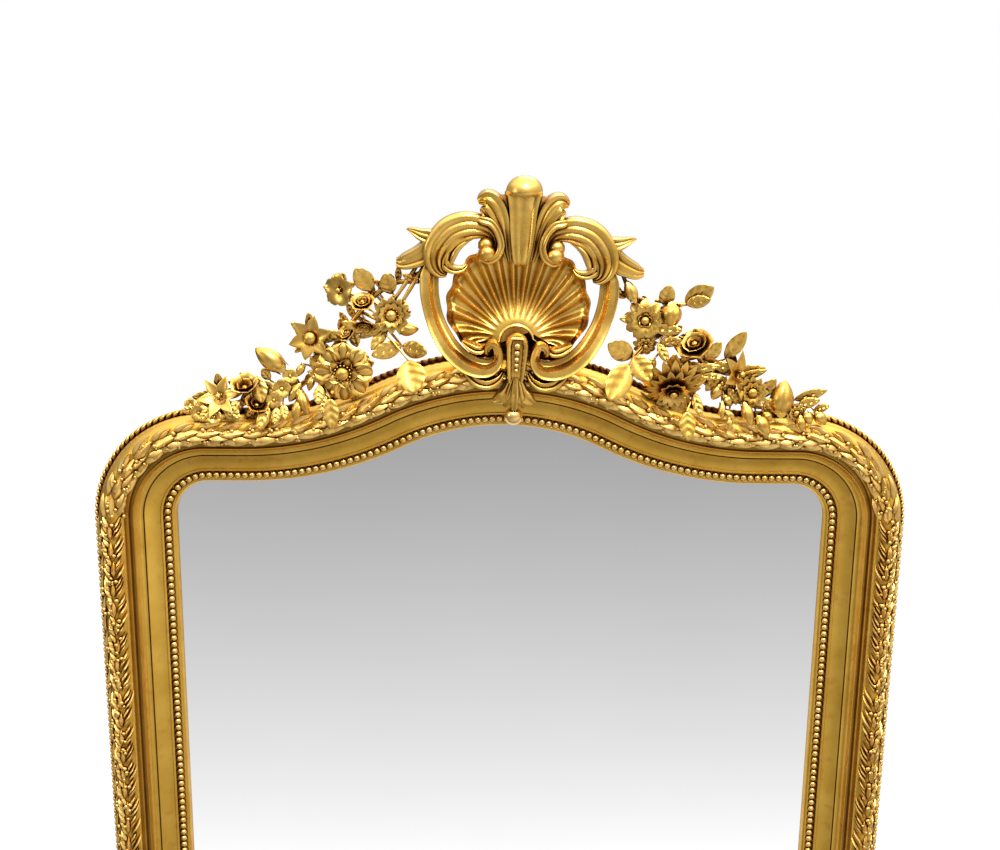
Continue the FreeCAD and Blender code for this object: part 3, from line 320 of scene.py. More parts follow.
def gilding(name, bright, mid, rough, reach, bole=0.35):
    """Leaf over bole; reach is how deep a hollow has to be before it darkens with dirt and painted shade, in
    metres.
    """
    material, tree, place, shader = new_finish(name, metallic=0.96)
    patches = ramp(tree, noise(tree, place, 28), [(0.3, 0), (0.7, 1)])
    worn = ramp(tree, noise(tree, place, 75, 6), [(0.56, 0), (0.7, bole)])
    leaf = blended(tree, worn, blended(tree, patches, mid, bright), RED_CLAY)
    # Ambient occlusion browns the hollows: dirt and old toning, and painted shade where the carving shades
    # itself.
    occlusion = tree.nodes.new("ShaderNodeAmbientOcclusion")
    occlusion.inputs["Distance"].default_value = reach
    occlusion.samples = 8
    open_sky = ramp(tree, occlusion.outputs["AO"], [(0.34, 0), (0.86, 1)])
    tree.links.new(blended(tree, open_sky, DIRT_AND_SHADE_BROWN, leaf), shader.inputs["Base Color"])
    shader.inputs["Coat Weight"].default_value = 0.16
    shader.inputs["Coat Roughness"].default_value = 0.22
    gloss = map_range(tree, noise(tree, place, 140), (0, 1), (rough - 0.08, rough + 0.12))
    tree.links.new(gloss, shader.inputs["Roughness"])
    bumped(tree, shader, noise(tree, place, 420), 0.25, 0.0004)
    return material


GOLD = (0.9, 0.56, 0.13)
OLD_GOLD = (0.72, 0.41, 0.06)
moulding_gold = gilding("satin_gilding", (0.8, 0.48, 0.075), (0.68, 0.38, 0.045), 0.34, 0.006)
carved_gold = gilding("burnished_gilding", GOLD, OLD_GOLD, 0.27, 0.015)
relief_gold = gilding("relief_gilding", (1.0, 0.66, 0.2), (0.84, 0.52, 0.12), 0.3, 0.004)
pearl_gold = gilding("bead_gilding", (0.95, 0.66, 0.26), GOLD, 0.22, 0.005, bole=0.15)
# Dark bole on the moulding's low outer sides; the same dark finish is painted shade on the rope behind the
# garlands.
bole_and_painted_shade = gilding("bole_sides_and_painted_shade", (0.16, 0.05, 0.012), (0.1, 0.03, 0.008), 0.5, 0.01)

# %% [markdown]
# ## Wood, iron and silvered glass
# The back is bare: pine boards with long grain and old toning, harder wood for the keys, and
# iron that has gone dark with rust in its pits. The mirror plate is silver behind glass, with a
# faint warmth.

# %% Back materials


def plain_wood(name, light, dark, along):
    """Bare timber; along stretches the grain: large numbers across it, small along it."""
    material, tree, place, shader = new_finish(name, roughness=0.78)
    stretch = tree.nodes.new("ShaderNodeMapping")
    stretch.inputs["Scale"].default_value = along
    tree.links.new(place, stretch.inputs["Vector"])
    grain = noise(tree, stretch.outputs[0], 6, 8)
    tint = ramp(tree, grain, [(0.35, dark), (0.52, light), (0.66, dark)])
    stain = ramp(tree, noise(tree, place, 4), [(0.35, 0.55), (0.65, 1)])
    tree.links.new(blended(tree, 1.0, tint, stain, "MULTIPLY"), shader.inputs["Base Color"])
    bumped(tree, shader, grain, 0.4, 0.0006)
    return material


def rusted_iron():
    material, tree, place, shader = new_finish("rusted_iron", metallic=0.7)
    pits = noise(tree, place, 260, 6)
    rust = ramp(tree, pits, [(0.4, (0.045, 0.04, 0.038)), (0.62, (0.2, 0.07, 0.03))])
    tree.links.new(rust, shader.inputs["Base Color"])
    tree.links.new(ramp(tree, pits, [(0.4, 0.4), (0.65, 0.85)]), shader.inputs["Roughness"])
    bumped(tree, shader, pits, 0.5, 0.0003)
    return material


def silvered_glass():
    material, tree, place, shader = new_finish("silvered_glass", metallic=1.0, roughness=0.0)
    haze = ramp(tree, noise(tree, place, 3), [(0.3, (0.9, 0.9, 0.905)), (0.7, 0.93)])
    tree.links.new(haze, shader.inputs["Base Color"])
    return material


pine = plain_wood("bare_pine", (0.42, 0.27, 0.14), (0.26, 0.15, 0.07), (1.2, 8, 14))
hardwood = plain_wood("bare_hardwood", (0.28, 0.15, 0.07), (0.16, 0.08, 0.035), (3, 10, 16))
iron = rusted_iron()
silvered = silvered_glass()
# The crest's block is near-black: painted shade that shows through the gaps between the carvings.
painted_shade_block = plain_wood("painted_shade_wood", (0.07, 0.03, 0.01), (0.035, 0.014, 0.005), (10, 10, 1.4))

# %% [markdown]
# ## The one shape behind every carved form
# A leaf, a petal, a scroll and a stalk are all the same thing to a modeller: a skin rolled round
# a line. create_grid makes a flat sheet of faces, each point is moved to its place round the
# line, and merging the doubles closes the seam and the pointed ends. Any end that stays open is
# filled. So each carved form is one short function that says where a point goes.

# %% Carving tools
scene_objects = bpy.context.scene.collection.objects
SHARP = math.radians(50)


def roll(bm, along, around, shape):
    """A closed skin: shape(t, turn) gives each point, t from 0 to 1 and turn once round."""
    made = bmesh.ops.create_grid(bm, x_segments=along, y_segments=around, size=1)["verts"]
    for vert in made:
        vert.co = shape((vert.co.x + 1) / 2, (vert.co.y + 1) * math.pi)
    bmesh.ops.remove_doubles(bm, verts=made, dist=0.00001)


def finish_piece(bm, name, material, node=None):
    """Closes the skin, turns its faces out and hangs it on the frame; node is what it stands for."""
    rim = [edge for edge in bm.edges if edge.is_boundary]
    if rim:
        bmesh.ops.holes_fill(bm, edges=rim, sides=0)
    bmesh.ops.recalc_face_normals(bm, faces=bm.faces)
    for face in bm.faces:
        face.smooth = True
    for edge in bm.edges:
        if edge.is_manifold and edge.calc_face_angle(0) > SHARP:
            edge.smooth = False
    mesh = bpy.data.meshes.new(name)
    bm.to_mesh(mesh)
    bm.free()
    mesh.materials.append(material)
    piece = bpy.data.objects.new(name, mesh)
    scene_objects.link(piece)
    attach(piece, "frame")
    if node:
        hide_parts(node)
    return piece


def standing(start, tip, facing):
    """A matrix whose Y runs from start towards tip and whose Z looks as nearly as it can at facing."""
    length_way = (tip - start).normalized()
    side = length_way.cross(facing).normalized()
    out = side.cross(length_way)
    return Matrix.Translation(start) @ Matrix((side, length_way, out)).transposed().to_4x4()


def spread_flower(centre, facing):
    """A matrix with its origin in the flower's heart and Z along its stalk's line."""
    beside = facing.cross(Vector((0, 0, 1))).normalized()
    above = beside.cross(facing)
    return Matrix.Translation(centre) @ Matrix((beside, above, facing)).transposed().to_4x4()


# %% [markdown]
# ## A leaf or a petal
# Both are a blade: narrow at the foot, widest past the middle, thin at the rim. The blade folds
# along its midrib, its tip curls over, and pleats run lengthwise where the carver cut them. One
# function with those five habits makes rose, daisy, anemone and the garlands' leaves. The laurel
# has a blade of its own further on, because it bends over the moulding.

# %% Blades


def blade(bm, place, length, width, thick, fold, curl=0.0, pleats=0, full=1.0, detail=(9, 12), veins=0.0):
    """place is a matrix; sizes are in millimetres; full above 1 makes a rounder tip."""

    def shape(t, turn):
        broad = math.sin(math.pi * min(t, 1) ** (0.75 * full)) ** (0.85 / full)
        half = width / 2 * max(broad, 0.0) if 0 < t < 1 else 0
        side = math.cos(turn)
        x = half * side
        rib = math.sin(turn) * thick / 2 * (1 - 0.55 * abs(side)) * (0.35 + 0.65 * broad)
        z = rib if 0 < t < 1 else 0
        z += fold * abs(x) + curl * length * (t * t)
        if pleats:
            z += 0.06 * width * broad * math.cos(side * math.pi * pleats)
        elif math.sin(turn) > 0:
            z -= 0.28 * thick * math.exp(-(side / 0.16) ** 2) * broad
            z += veins * math.cos(2 * math.pi * (4 * t - 0.9 * abs(side))) * broad
        return place @ (Vector((x, length * t, z)) * MM)

    roll(bm, detail[0], detail[1], shape)


def ball(bm, place, radius, squash=1.0):
    """A bead, berry or dome, in millimetres; squash flattens it along its own Z."""
    size = Matrix.Diagonal((radius * MM, radius * MM, radius * MM * squash, 1))
    bmesh.ops.create_icosphere(bm, subdivisions=2, radius=1, matrix=place @ size)


def stalk(bm, line, thick, sides=8, per_span=4):
    """A smooth round stalk through points in metres; thick is its radius in mm at each point."""
    spots = []
    for index in range(len(line) - 1):
        before = line[max(index - 1, 0)]
        start, finish = line[index], line[index + 1]
        after = line[min(index + 2, len(line) - 1)]
        for step in range(per_span):
            t = step / per_span
            bend = (finish - before + (2 * before - 5 * start + 4 * finish - after) * t
                    + (3 * (start - finish) + after - before) * t * t)
            spots.append(start + bend * (0.5 * t))
    spots.append(line[-1])
    last = len(spots) - 1

    def shape(t, turn):
        index = round(t * last)
        way = (spots[min(index + 1, last)] - spots[max(index - 1, 0)]).normalized()
        side = way.cross(FRONT).normalized()
        over = side.cross(way)
        radius = thick[round(t * (len(thick) - 1))] * MM
        return spots[index] + (side * math.cos(turn) + over * math.sin(turn)) * radius

    roll(bm, last, sides, shape)


# %% [markdown]
# ## Where the moulding runs
# Each rail follows lines and arcs that share their centres with the sight edge, so the section
# stays true round every bend. walk() gives those runs for one rail, and spot() turns a distance
# along them into a point, so that beads, rope and laurel can be set out by their spacing.

# %% Runs of the frame
RAILS = ("bottom_rail", "right_stile", "right_shoulder", "crown_rail", "left_shoulder", "left_stile")


def walk(rail, out):
    """Runs of a rail on the line at a distance out from the sight edge, all in the right half's
    sense: ("line", start, way, outward, length) or ("arc", centre, radius, first, last, sign)."""
    up, right = Vector((0, 0, 1)), Vector((1, 0, 0))
    if rail == "bottom_rail":
        half = HALF_SIGHT + out
        return [("line", Vector((-half, 0, MOULDING - out)), right, -up, half * 2)]
    if rail.endswith("stile"):
        foot = MOULDING - out
        return [("line", Vector((HALF_SIGHT + out, 0, foot)), up, right, CORNER_Z - foot)]
    if rail == "crown_rail":
        centre = Vector((0, 0, CROWN_Z))
        return [("arc", centre, CROWN_RADIUS + out, math.pi / 2 - SWEEP, math.pi / 2 + SWEEP, 1)]
    return [
        ("arc", Vector((CORNER_X, 0, CORNER_Z)), CORNER_RADIUS + out, 0, math.pi / 2, 1),
        ("line", Vector((CORNER_X, 0, SIGHT_TOP + out)), -right, up, SHOULDER_FLAT),
        ("arc", Vector((FLAT_X, 0, SWEEP_Z)), SWEEP_RADIUS - out, -math.pi / 2, -math.pi / 2 - SWEEP, -1),
    ]


def run_length(run):
    return run[4] if run[0] == "line" else abs(run[4] - run[3]) * run[2]


def spot(rail, out, distance, aside=0.0, depth=0.0):
    """(point, way along, outward) at a distance along a rail's line; depth is out from the wall."""
    runs = walk(rail, out)
    for run in runs:
        if distance <= run_length(run) or run is runs[-1]:
            break
        distance -= run_length(run)
    if run[0] == "line":
        _, start, way, outward, _ = run
        point = start + way * distance + outward * aside
    else:
        _, centre, radius, first, last, sign = run
        angle = first + (last - first) * distance / run_length(run)
        ray = Vector((math.cos(angle), 0, math.sin(angle)))
        way = Vector((-ray.z, 0, ray.x)) * (1 if last > first else -1)
        outward = ray * sign
        point = centre + ray * radius + outward * aside
    mirror = -1 if rail.startswith("left") else 1
    point = Vector((point.x * mirror, WALL_Y - depth, point.z))
    return point, Vector((way.x * mirror, 0, way.z)), Vector((outward.x * mirror, 0, outward.z))


def rail_length(rail, out):
    return sum(run_length(run) for run in walk(rail, out))


# %% [markdown]
# ## The moulding
# The section is drawn once, as a joiner would draw a cutter: lip, bead bed, fillet, a long soft
# hollow, a thin groove, a cove, a deep groove, then the fat torus and the rope's bed. A wire of
# it is spun round each arc and extruded along each straight, and the stiles are cut to a mitre.
# Low on the outer side the leaf stops, and the red clay shows.

# %% Section
TORUS_OUT, TORUS_FOOT, TORUS_RADIUS, TORUS_STEPS = 79.5, 60, 17.4, 14


def bow(start, finish, sag, steps=8):
    """Points of a shallow bow between two points; sag is how far it falls back."""
    points = []
    for step in range(1, steps):
        t = step / steps
        fall = sag * math.sin(math.pi * t)
        points.append((start[0] + (finish[0] - start[0]) * t, start[1] + (finish[1] - start[1]) * t - fall))
    return points


def section_points():
    """(out, depth) in millimetres, from the glass outwards and back round behind."""
    lip = [(0, 28), (0.3, 30), (1.6, 34), (3.4, 37), (5.2, 38.2), (6.4, 38)]
    bead_bed = [(7.2, 37.4), (15.8, 37.4)]
    fillet = [(16.8, 38), (17.2, 41.6), (18.2, 42.6), (20.2, 42.6), (21, 41.4)]
    soft_hollow = bow((21, 41.4), (40.2, 49.4), 1.6)
    thin_groove = [(40.2, 49.4), (40.7, 47.2), (41.6, 47.2), (42, 50)]
    cove = bow((42, 50), (52, 61), 3.6)
    deep_groove = [(52, 61), (53, 60.8), (54, 54.4), (58.4, 54), (59, 58.6), (59.6, 59.4), (61.6, 59.4)]
    turns = [math.pi * (1 - step / TORUS_STEPS) for step in range(TORUS_STEPS + 1)]
    torus = [(TORUS_OUT + TORUS_RADIUS * math.cos(a), TORUS_FOOT + TORUS_RADIUS * math.sin(a)) for a in turns]
    rope_bed = [(98, 58.6), (98.8, 49), (100.4, 46.4), (104, 45.4), (105, 44), (104.4, 40)]
    back = [(95, 1), (94, 0), (20, 0)]
    rebate = [(20, 18), (8, 18), (8, 28)]
    front = lip + bead_bed + fillet + soft_hollow + thin_groove + cove + deep_groove + torus
    return front + rope_bed + back + rebate


def section_wire(bm, across_way, origin):
    """The section as a closed wire; across_way is the outward direction, origin the sight edge."""
    verts = []
    for out, depth in section_points():
        point = origin + across_way * (out * MM)
        verts.append(bm.verts.new((point.x, WALL_Y - depth * MM, point.z)))
    edges = [bm.edges.new((verts[i], verts[(i + 1) % len(verts)])) for i in range(len(verts))]
    return verts + edges


def straight(bm, wire, move):
    made = bmesh.ops.extrude_edge_only(bm, edges=[e for e in wire if isinstance(e, bmesh.types.BMEdge)])
    verts = [v for v in made["geom"] if isinstance(v, bmesh.types.BMVert)]
    bmesh.ops.translate(bm, verts=verts, vec=move)


def cut_back(bm, point, normal):
    """Keeps what lies behind a plane."""
    geom = bm.verts[:] + bm.edges[:] + bm.faces[:]
    bmesh.ops.bisect_plane(bm, geom=geom, plane_co=point, plane_no=normal, clear_outer=True)


STEP_ANGLE = math.radians(1.5)


def rail_mesh(rail):
    bm = bmesh.new()
    right, up = Vector((1, 0, 0)), Vector((0, 0, 1))
    if rail == "bottom_rail":
        wire = section_wire(bm, -up, Vector((-HALF_WIDTH, 0, MOULDING)))
        straight(bm, wire, right * HALF_WIDTH * 2)
        for side in (-1, 1):
            cut_back(bm, Vector((side * HALF_SIGHT, 0, MOULDING)), Vector((side, 0, 1)))
    elif rail.endswith("stile"):
        wire = section_wire(bm, right, Vector((HALF_SIGHT, 0, 0)))
        straight(bm, wire, up * CORNER_Z)
        cut_back(bm, Vector((HALF_SIGHT, 0, MOULDING)), Vector((-1, 0, -1)))
    elif rail == "crown_rail":
        start = Vector((math.sin(SWEEP), 0, math.cos(SWEEP)))
        wire = section_wire(bm, start, Vector((0, 0, CROWN_Z)) + start * CROWN_RADIUS)
        bmesh.ops.spin(bm, geom=wire, cent=(0, 0, CROWN_Z), axis=(0, -1, 0),
                       angle=SWEEP * 2, steps=round(SWEEP * 2 / STEP_ANGLE))
    else:
        wire = section_wire(bm, up, Vector((FLAT_X, 0, SIGHT_TOP)))
        bmesh.ops.spin(bm, geom=wire, cent=(FLAT_X, 0, SWEEP_Z), axis=(0, 1, 0),
                       angle=SWEEP, steps=round(SWEEP / STEP_ANGLE))
        wire = section_wire(bm, up, Vector((FLAT_X, 0, SIGHT_TOP)))
        straight(bm, wire, right * SHOULDER_FLAT)
        wire = section_wire(bm, up, Vector((CORNER_X, 0, SIGHT_TOP)))
        bmesh.ops.spin(bm, geom=wire, cent=(CORNER_X, 0, CORNER_Z), axis=(0, 1, 0),
                       angle=math.pi / 2, steps=round(math.pi / 2 / STEP_ANGLE / 2))
        bmesh.ops.remove_doubles(bm, verts=bm.verts, dist=0.00001)
    if rail.startswith("left"):
        bmesh.ops.scale(bm, vec=(-1, 1, 1), verts=bm.verts)
    return bm


CLAY_DEPTH = 27 * MM
LEAST_CLAY_FACE = 100 * MM * MM

for rail in RAILS:
    piece = finish_piece(rail_mesh(rail), f"{rail}_moulding", moulding_gold, rail)
    piece.data.materials.append(bole_and_painted_shade)
    for face in piece.data.polygons:
        low_down = WALL_Y - face.center.y < CLAY_DEPTH
        sideways_on = abs(face.normal.y) < 0.5 and face.area > LEAST_CLAY_FACE
        face.material_index = 1 if low_down and sideways_on else 0
    print(piece.name, len(piece.data.polygons), "faces")

# %% [markdown]
# ## Beads, rope and laurel
# Three running ornaments follow the frame. The beads are turned like a string of pearls, just
# touching. The rope is a row of slanted lozenges, which reads as twisted strands at this size.
# Along the arched top, behind the garlands, it is painted dark as the shade the garlands cast on
# it. The laurel is laid on the torus: chevrons of thin blades climb the stiles, broad leaves lie
# on the arched top, both run towards the crest, and berries are scattered between them.

# %% Running ornament
BEAD_OUT, BEAD_DEPTH, BEAD_RADIUS, BEAD_PITCH = 11.6 * MM, 38.6 * MM, 4.5, 9.6 * MM
ROPE_OUT, ROPE_DEPTH, ROPE_PITCH = 102.0 * MM, 48.6 * MM, 9.4 * MM
ROPE_STRAND = (2.9 * MM, 6.6 * MM, 4.6 * MM, 1)
ROPE_ALONG, ROPE_OUTWARD = 0.84, 0.54
# How far from the middle the rope along the arched top is darkened as painted shade.
PAINTED_SHADE_ROPE_REACH = 385 * MM


def rail_beads(rail):
    bm = bmesh.new()
    length = rail_length(rail, BEAD_OUT)
    count = round(length / BEAD_PITCH)
    for index in range(count):
        point = spot(rail, BEAD_OUT, length * (index + 0.5) / count, depth=BEAD_DEPTH)[0]
        ball(bm, Matrix.Translation(point), BEAD_RADIUS)
    return bm


def rail_rope(rail):
    bm = bmesh.new()
    length = rail_length(rail, ROPE_OUT)
    count = round(length / ROPE_PITCH)
    for index in range(count):
        point, way, outward = spot(rail, ROPE_OUT, length * (index + 0.5) / count, depth=ROPE_DEPTH)
        slant = (way * ROPE_ALONG + outward * ROPE_OUTWARD).normalized()
        place = standing(point, point + slant, FRONT)
        size = Matrix.Diagonal(ROPE_STRAND)
        bmesh.ops.create_icosphere(bm, subdivisions=2, radius=1, matrix=place @ size)
    return bm


def on_torus(rail, distance, round_by, lift):
    """A point on the torus: round_by is the angle from its crest, outward positive; lift is in mm."""
    reach = (TORUS_RADIUS + lift) * MM
    depth = TORUS_FOOT * MM + reach * math.cos(round_by)
    return spot(rail, TORUS_OUT * MM, distance, aside=reach * math.sin(round_by), depth=depth)[0]


def torus_leaf(bm, rail, distance, round_by, lean, length, width, lift):
    """A blade bent over the torus; lean turns it outward from the way along."""

    def shape(t, turn):
        broad = math.sin(math.pi * min(t, 1) ** 0.8) ** 0.8 if 0 < t < 1 else 0
        side = math.cos(turn) * width / 2 * broad
        run = length * t
        high = lift * broad * (0.6 + 0.5 * math.sin(turn)) - 0.35 * abs(side) * (lift / 4)
        if abs(math.cos(turn)) < 0.3 and math.sin(turn) > 0:
            high += 0.5
        along = run * math.cos(lean) - side * math.sin(lean)
        beside = run * math.sin(lean) + side * math.cos(lean)
        return on_torus(rail, distance + along * MM, round_by + beside / TORUS_RADIUS, high)

    roll(bm, 7, 8, shape)


# Each leaf of a step: (how far on, round by, lean, length, width, lift).
CHEVRON_PITCH, BROAD_PITCH, BERRIES = 27 * MM, 31 * MM, 7
CHEVRONS = [
    (0, -0.15, -0.5, 27, 3.8, 4.8), (7, -0.12, -0.5, 26, 3.4, 4.8), (14, -0.15, -0.5, 24, 3.2, 4.6),
    (0, 0.1, 0.45, 22, 6.0, 4.6), (9, 0.2, 0.4, 20, 5.0, 4.6), (17, 0.05, 0.45, 20, 4.6, 4.2),
    (2, 0.0, 0.0, 24, 6.5, 5.4), (14, 0.5, -0.2, 20, 5.5, 4.6), (4, 1.0, 0.0, 26, 4.0, 3.4),
]
BROAD_LEAVES = [
    (0, -0.2, 0.12, 40, 12, 5.0), (6, -0.75, -0.25, 36, 11, 4.6), (4, 0.3, 0.22, 32, 9, 4.0),
    (16, -1.05, 0.3, 26, 8, 3.8), (18, -0.45, -0.1, 30, 8, 5.2), (14, 0.1, 0.35, 22, 6, 4.2),
]


def rail_laurel(rail, rng):
    """Chevrons of thin blades climb the stiles; broad leaves lie on the front of the arched top."""
    bm = bmesh.new()
    length = rail_length(rail, TORUS_OUT * MM)
    arched = rail in ("crown_rail", "left_shoulder", "right_shoulder")
    leaves, pitch_along = (BROAD_LEAVES, BROAD_PITCH) if arched else (CHEVRONS, CHEVRON_PITCH)
    low_turn, high_turn = (-1.1, 0.3) if arched else (-0.3, 0.9)
    count = round(length / pitch_along)
    for index in range(count):
        distance = length * (index + 0.1) / count
        heading = 0.0
        if rail in ("bottom_rail", "crown_rail") and distance > length / 2:
            heading = math.pi
            distance += 24 * MM
        sense = -1 if heading else 1
        for ahead_mm, round_by, lean, long, wide, lift in leaves:
            jitter = rng.uniform(-0.07, 0.07)
            torus_leaf(bm, rail, distance + sense * ahead_mm * MM, round_by + jitter,
                       heading + sense * lean + jitter, long * rng.uniform(0.9, 1.1), wide, lift)
        for _ in range(BERRIES):
            point = on_torus(rail, distance + sense * rng.uniform(2, 26) * MM,
                             rng.uniform(low_turn, high_turn), 2.8)
            ball(bm, Matrix.Translation(point), rng.uniform(2.0, 3.2))
    return bm


rng = random.Random(7)
for rail in RAILS:
    finish_piece(rail_beads(rail), f"{rail}_beads", pearl_gold)
    rope = finish_piece(rail_rope(rail), f"{rail}_rope", carved_gold)
    rope.data.materials.append(bole_and_painted_shade)
    # Rope faces along the arched top take the dark finish: painted shade behind the garlands.
    for face in rope.data.polygons:
        face.material_index = 1 if abs(face.center.x) < PAINTED_SHADE_ROPE_REACH and face.center.z > CORNER_Z else 0
    piece = finish_piece(rail_laurel(rail, rng), f"{rail}_laurel", relief_gold)
    print(piece.name, len(piece.data.polygons), "faces")

# %% [markdown]
# ## The crest's own frame
# The crest stands a little right of the middle and leans two degrees, as carved crests settle.
# Its pieces are drawn from its axis and its foot, and crest() turns such a place into a point.

# %% Crest frame
CREST_OFFSET = 12.5 * MM
CREST_FOOT = CROWN_TOP - 87 * MM
CREST_LEAN = math.radians(2)


def crest(across_mm, up_mm, depth_mm):
    """A point by millimetres from the crest's axis, up from its foot and out from the wall."""
    lean_sin, lean_cos = math.sin(CREST_LEAN), math.cos(CREST_LEAN)
    x = CREST_OFFSET + (across_mm * lean_cos + up_mm * lean_sin) * MM
    z = CREST_FOOT + (up_mm * lean_cos - across_mm * lean_sin) * MM
    return Vector((x, WALL_Y - depth_mm * MM, z))


def flow(stations, t):
    """A place on the smooth curve through rows of numbers, t from 0 to 1."""
    span = min(t, 0.99999) * (len(stations) - 1)
    index = int(span)
    t = span - index
    rows = [stations[min(max(index + k, 0), len(stations) - 1)] for k in (-1, 0, 1, 2)]
    return [b + 0.5 * t * (c - a + t * (2 * a - 5 * b + 4 * c - d + t * (3 * (b - c) + d - a)))
            for a, b, c, d in zip(*rows)]


def reeds(q, edges):
    """Rounded reeds with sharp grooves between them: height 0 to 1 across the given edges."""
    for low_edge, high_edge in zip(edges, edges[1:]):
        if low_edge <= q <= high_edge:
            middle, half = (low_edge + high_edge) / 2, (high_edge - low_edge) / 2
            return math.sqrt(max(1 - ((q - middle) / half) ** 2, 0))
    return 0


def carved_strip(bm, stations, relief, along, around):
    """A carved band: stations are (across, up, back depth, width, thickness), and relief(q, t)
    is how much of the thickness stands at q, from -1 at the right of its way to 1 at the left."""

    def shape(t, turn):
        a, b, back, width, thick = flow(stations, t)
        near, far = flow(stations, max(t - 0.004, 0)), flow(stations, min(t + 0.004, 1))
        way = Vector((far[0] - near[0], far[1] - near[1], 0)).normalized()
        q = math.cos(turn)
        a -= way.y * q * width / 2
        b += way.x * q * width / 2
        rise = relief(q, t) if math.sin(turn) > 0 else 0
        return crest(a, b, back + thick * rise)

    roll(bm, along, around, shape)


def edge_fall(q, sharp=3.2):
    """How high a band stands across its width: flat in the middle, round at the edges."""
    return min(1, math.sqrt(max(1 - q * q, 0)) * sharp)


def reeded(share, edges, sharp):
    """A relief of reeds between the given edges, whose grooves cut in by a share of the band."""
    return lambda q, t: (1 - share + share * reeds(q, edges)) * edge_fall(q, sharp)


def carve(name, node, strips):
    """One gilt piece from its bands: (stations, relief, steps along, steps around)."""
    bm = bmesh.new()
    for strip in strips:
        carved_strip(bm, *strip)
    finish_piece(bm, name, carved_gold, node)


def mirrored(stations, side):
    """The stations of a band on the left (-1) or the right (1) of the crest's axis."""
    return [(side * across, *rest) for across, *rest in stations]


# %% [markdown]
# ## The scallop shell
# The flutes start on a small arc over the shell's eye and bend outwards to a round rim, like
# water from a fountain. Each flute is a curve with three handles: the arc, a point further out
# on the same ray, and the rim. The bowl is deepest in the middle and comes forward to the rim,
# sharp ridges stand between the flutes, and a thin lip waves in and out with them.

# %% Shell
SHELL_FLUTES = 15
SHELL_FOCUS, SHELL_START, SHELL_PULL = 98, 21, 66
RIM_MIDDLE, RIM_RADIUS = 139, 91


def flute_spot(s, share):
    """(across, up) at s, from -1 at the right corner to 1 at the left, and a share of the flute."""
    ray = math.pi / 2 * (1 + s)
    rim_angle = math.pi / 2 + math.radians(137) * s * (0.8 + 0.2 * s * s)
    rim = RIM_RADIUS - 19 * max(-math.sin(rim_angle) - 0.1, 0)
    handles = [
        (SHELL_START * math.cos(ray), SHELL_FOCUS + SHELL_START * math.sin(ray)),
        (SHELL_PULL * math.cos(ray), SHELL_FOCUS + SHELL_PULL * math.sin(ray)),
        (rim * math.cos(rim_angle), RIM_MIDDLE + rim * math.sin(rim_angle)),
    ]
    parts = ((1 - share) ** 2, 2 * share * (1 - share), share ** 2)
    return tuple(sum(part * handle[axis] for part, handle in zip(parts, handles)) for axis in (0, 1))


def shell_shape(t, turn):
    s = 1 - 2 * t
    share = turn / math.pi if turn <= math.pi else 2 - turn / math.pi
    wave = abs(math.cos(math.pi * SHELL_FLUTES * t))
    ridge = wave ** 3.2
    lobe = 1 + 0.035 * (1 - wave ** 2) * max(share - 0.6, 0) / 0.4
    across, up = flute_spot(s, share)
    across, up = across * lobe, RIM_MIDDLE + (up - RIM_MIDDLE) * lobe
    from_middle = math.hypot(across, up - RIM_MIDDLE) / RIM_RADIUS
    bowl = 42 + 15 * from_middle ** 2 + 9 * math.exp(-(share / 0.22) ** 2)
    if turn > math.pi:
        return crest(across, up, 36 + 10 * share)
    rise = 7.5 * min(max(share - 0.1, 0) * 2.4, 1) * (ridge - 0.35)
    lip = 4.5 * math.exp(-((share - 0.975) / 0.022) ** 2) - 2.5 * math.exp(-((share - 0.9) / 0.035) ** 2)
    return crest(across, up, bowl + rise + lip)


shell = bmesh.new()
roll(shell, SHELL_FLUTES * 14, 80, shell_shape)
finish_piece(shell, "fluted_shell", carved_gold, "shell")

dome = bmesh.new()


def dome_shape(t, turn):
    """A raised ring with a sunk hollow in it; below, it reaches down behind the pendant."""
    r = 24 * t
    ring = 3 * math.exp(-((t - 0.9) / 0.07) ** 2)
    depth = 53 - 3 * math.cos(t * math.pi / 2) + ring
    reach = 1 if math.sin(turn) > 0 else 1.7
    return crest(r * math.cos(turn) * (1 + 0.5 * (reach - 1)), 97 + r * math.sin(turn) * reach, depth)


roll(dome, 18, 32, dome_shape)
finish_piece(dome, "shell_eye", carved_gold, "shell_boss")

# %% [markdown]
# ## The C-scrolls
# Each scroll is built up of bands. A broad acanthus leaf with hollowed reeds springs from the
# eye beside the plume and turns down the side, where it thins to a plain band with a sunk inner
# face. The band passes under the shell and hooks up beside the pendant. A rim curls round the
# upper eye, a short inner leaf fills the bend below it, a tail reaches back to the shell, a leaf
# curls under the foot, and a knob bridges the gap to the pendant. The second scroll is the first
# one mirrored about the crest's axis.

# %% Scrolls
# F and M are where a band's back lies, out from the wall: on the crest's block or the moulding.
FRONT_SEAT = 58.3
MOULDING_SEAT = 77.4
F, M = FRONT_SEAT, MOULDING_SEAT
LEAF = [
    (46, 206, F, 4, 8), (37, 213, F, 9, 11), (34, 228, F, 15, 13), (44, 241, F, 25, 16),
    (66, 245, F, 36, 20), (88, 238, F, 39, 21), (103, 222, F, 37, 22), (109, 206, F, 31, 22),
    (107, 193, F, 23, 21), (101, 185, F, 14, 19), (93, 182, F, 5, 14),
]
BAND = [
    (112, 192, F, 20, 15), (115, 178, F, 24, 18), (114, 155, F, 24, 18), (108, 130, F + 2, 23, 18),
    (99, 110, F + 8, 24, 18), (86, 91, M - 4, 25, 18), (69, 76, M, 25, 18), (51, 68, M, 24, 19),
    (34, 68, M, 20, 19), (24, 78, M, 14, 19), (24, 91, M, 11, 20), (30, 99, M, 9, 20),
    (37, 95, M, 8, 18), (38, 88, M, 6, 14), (34, 86, M, 3, 8),
]
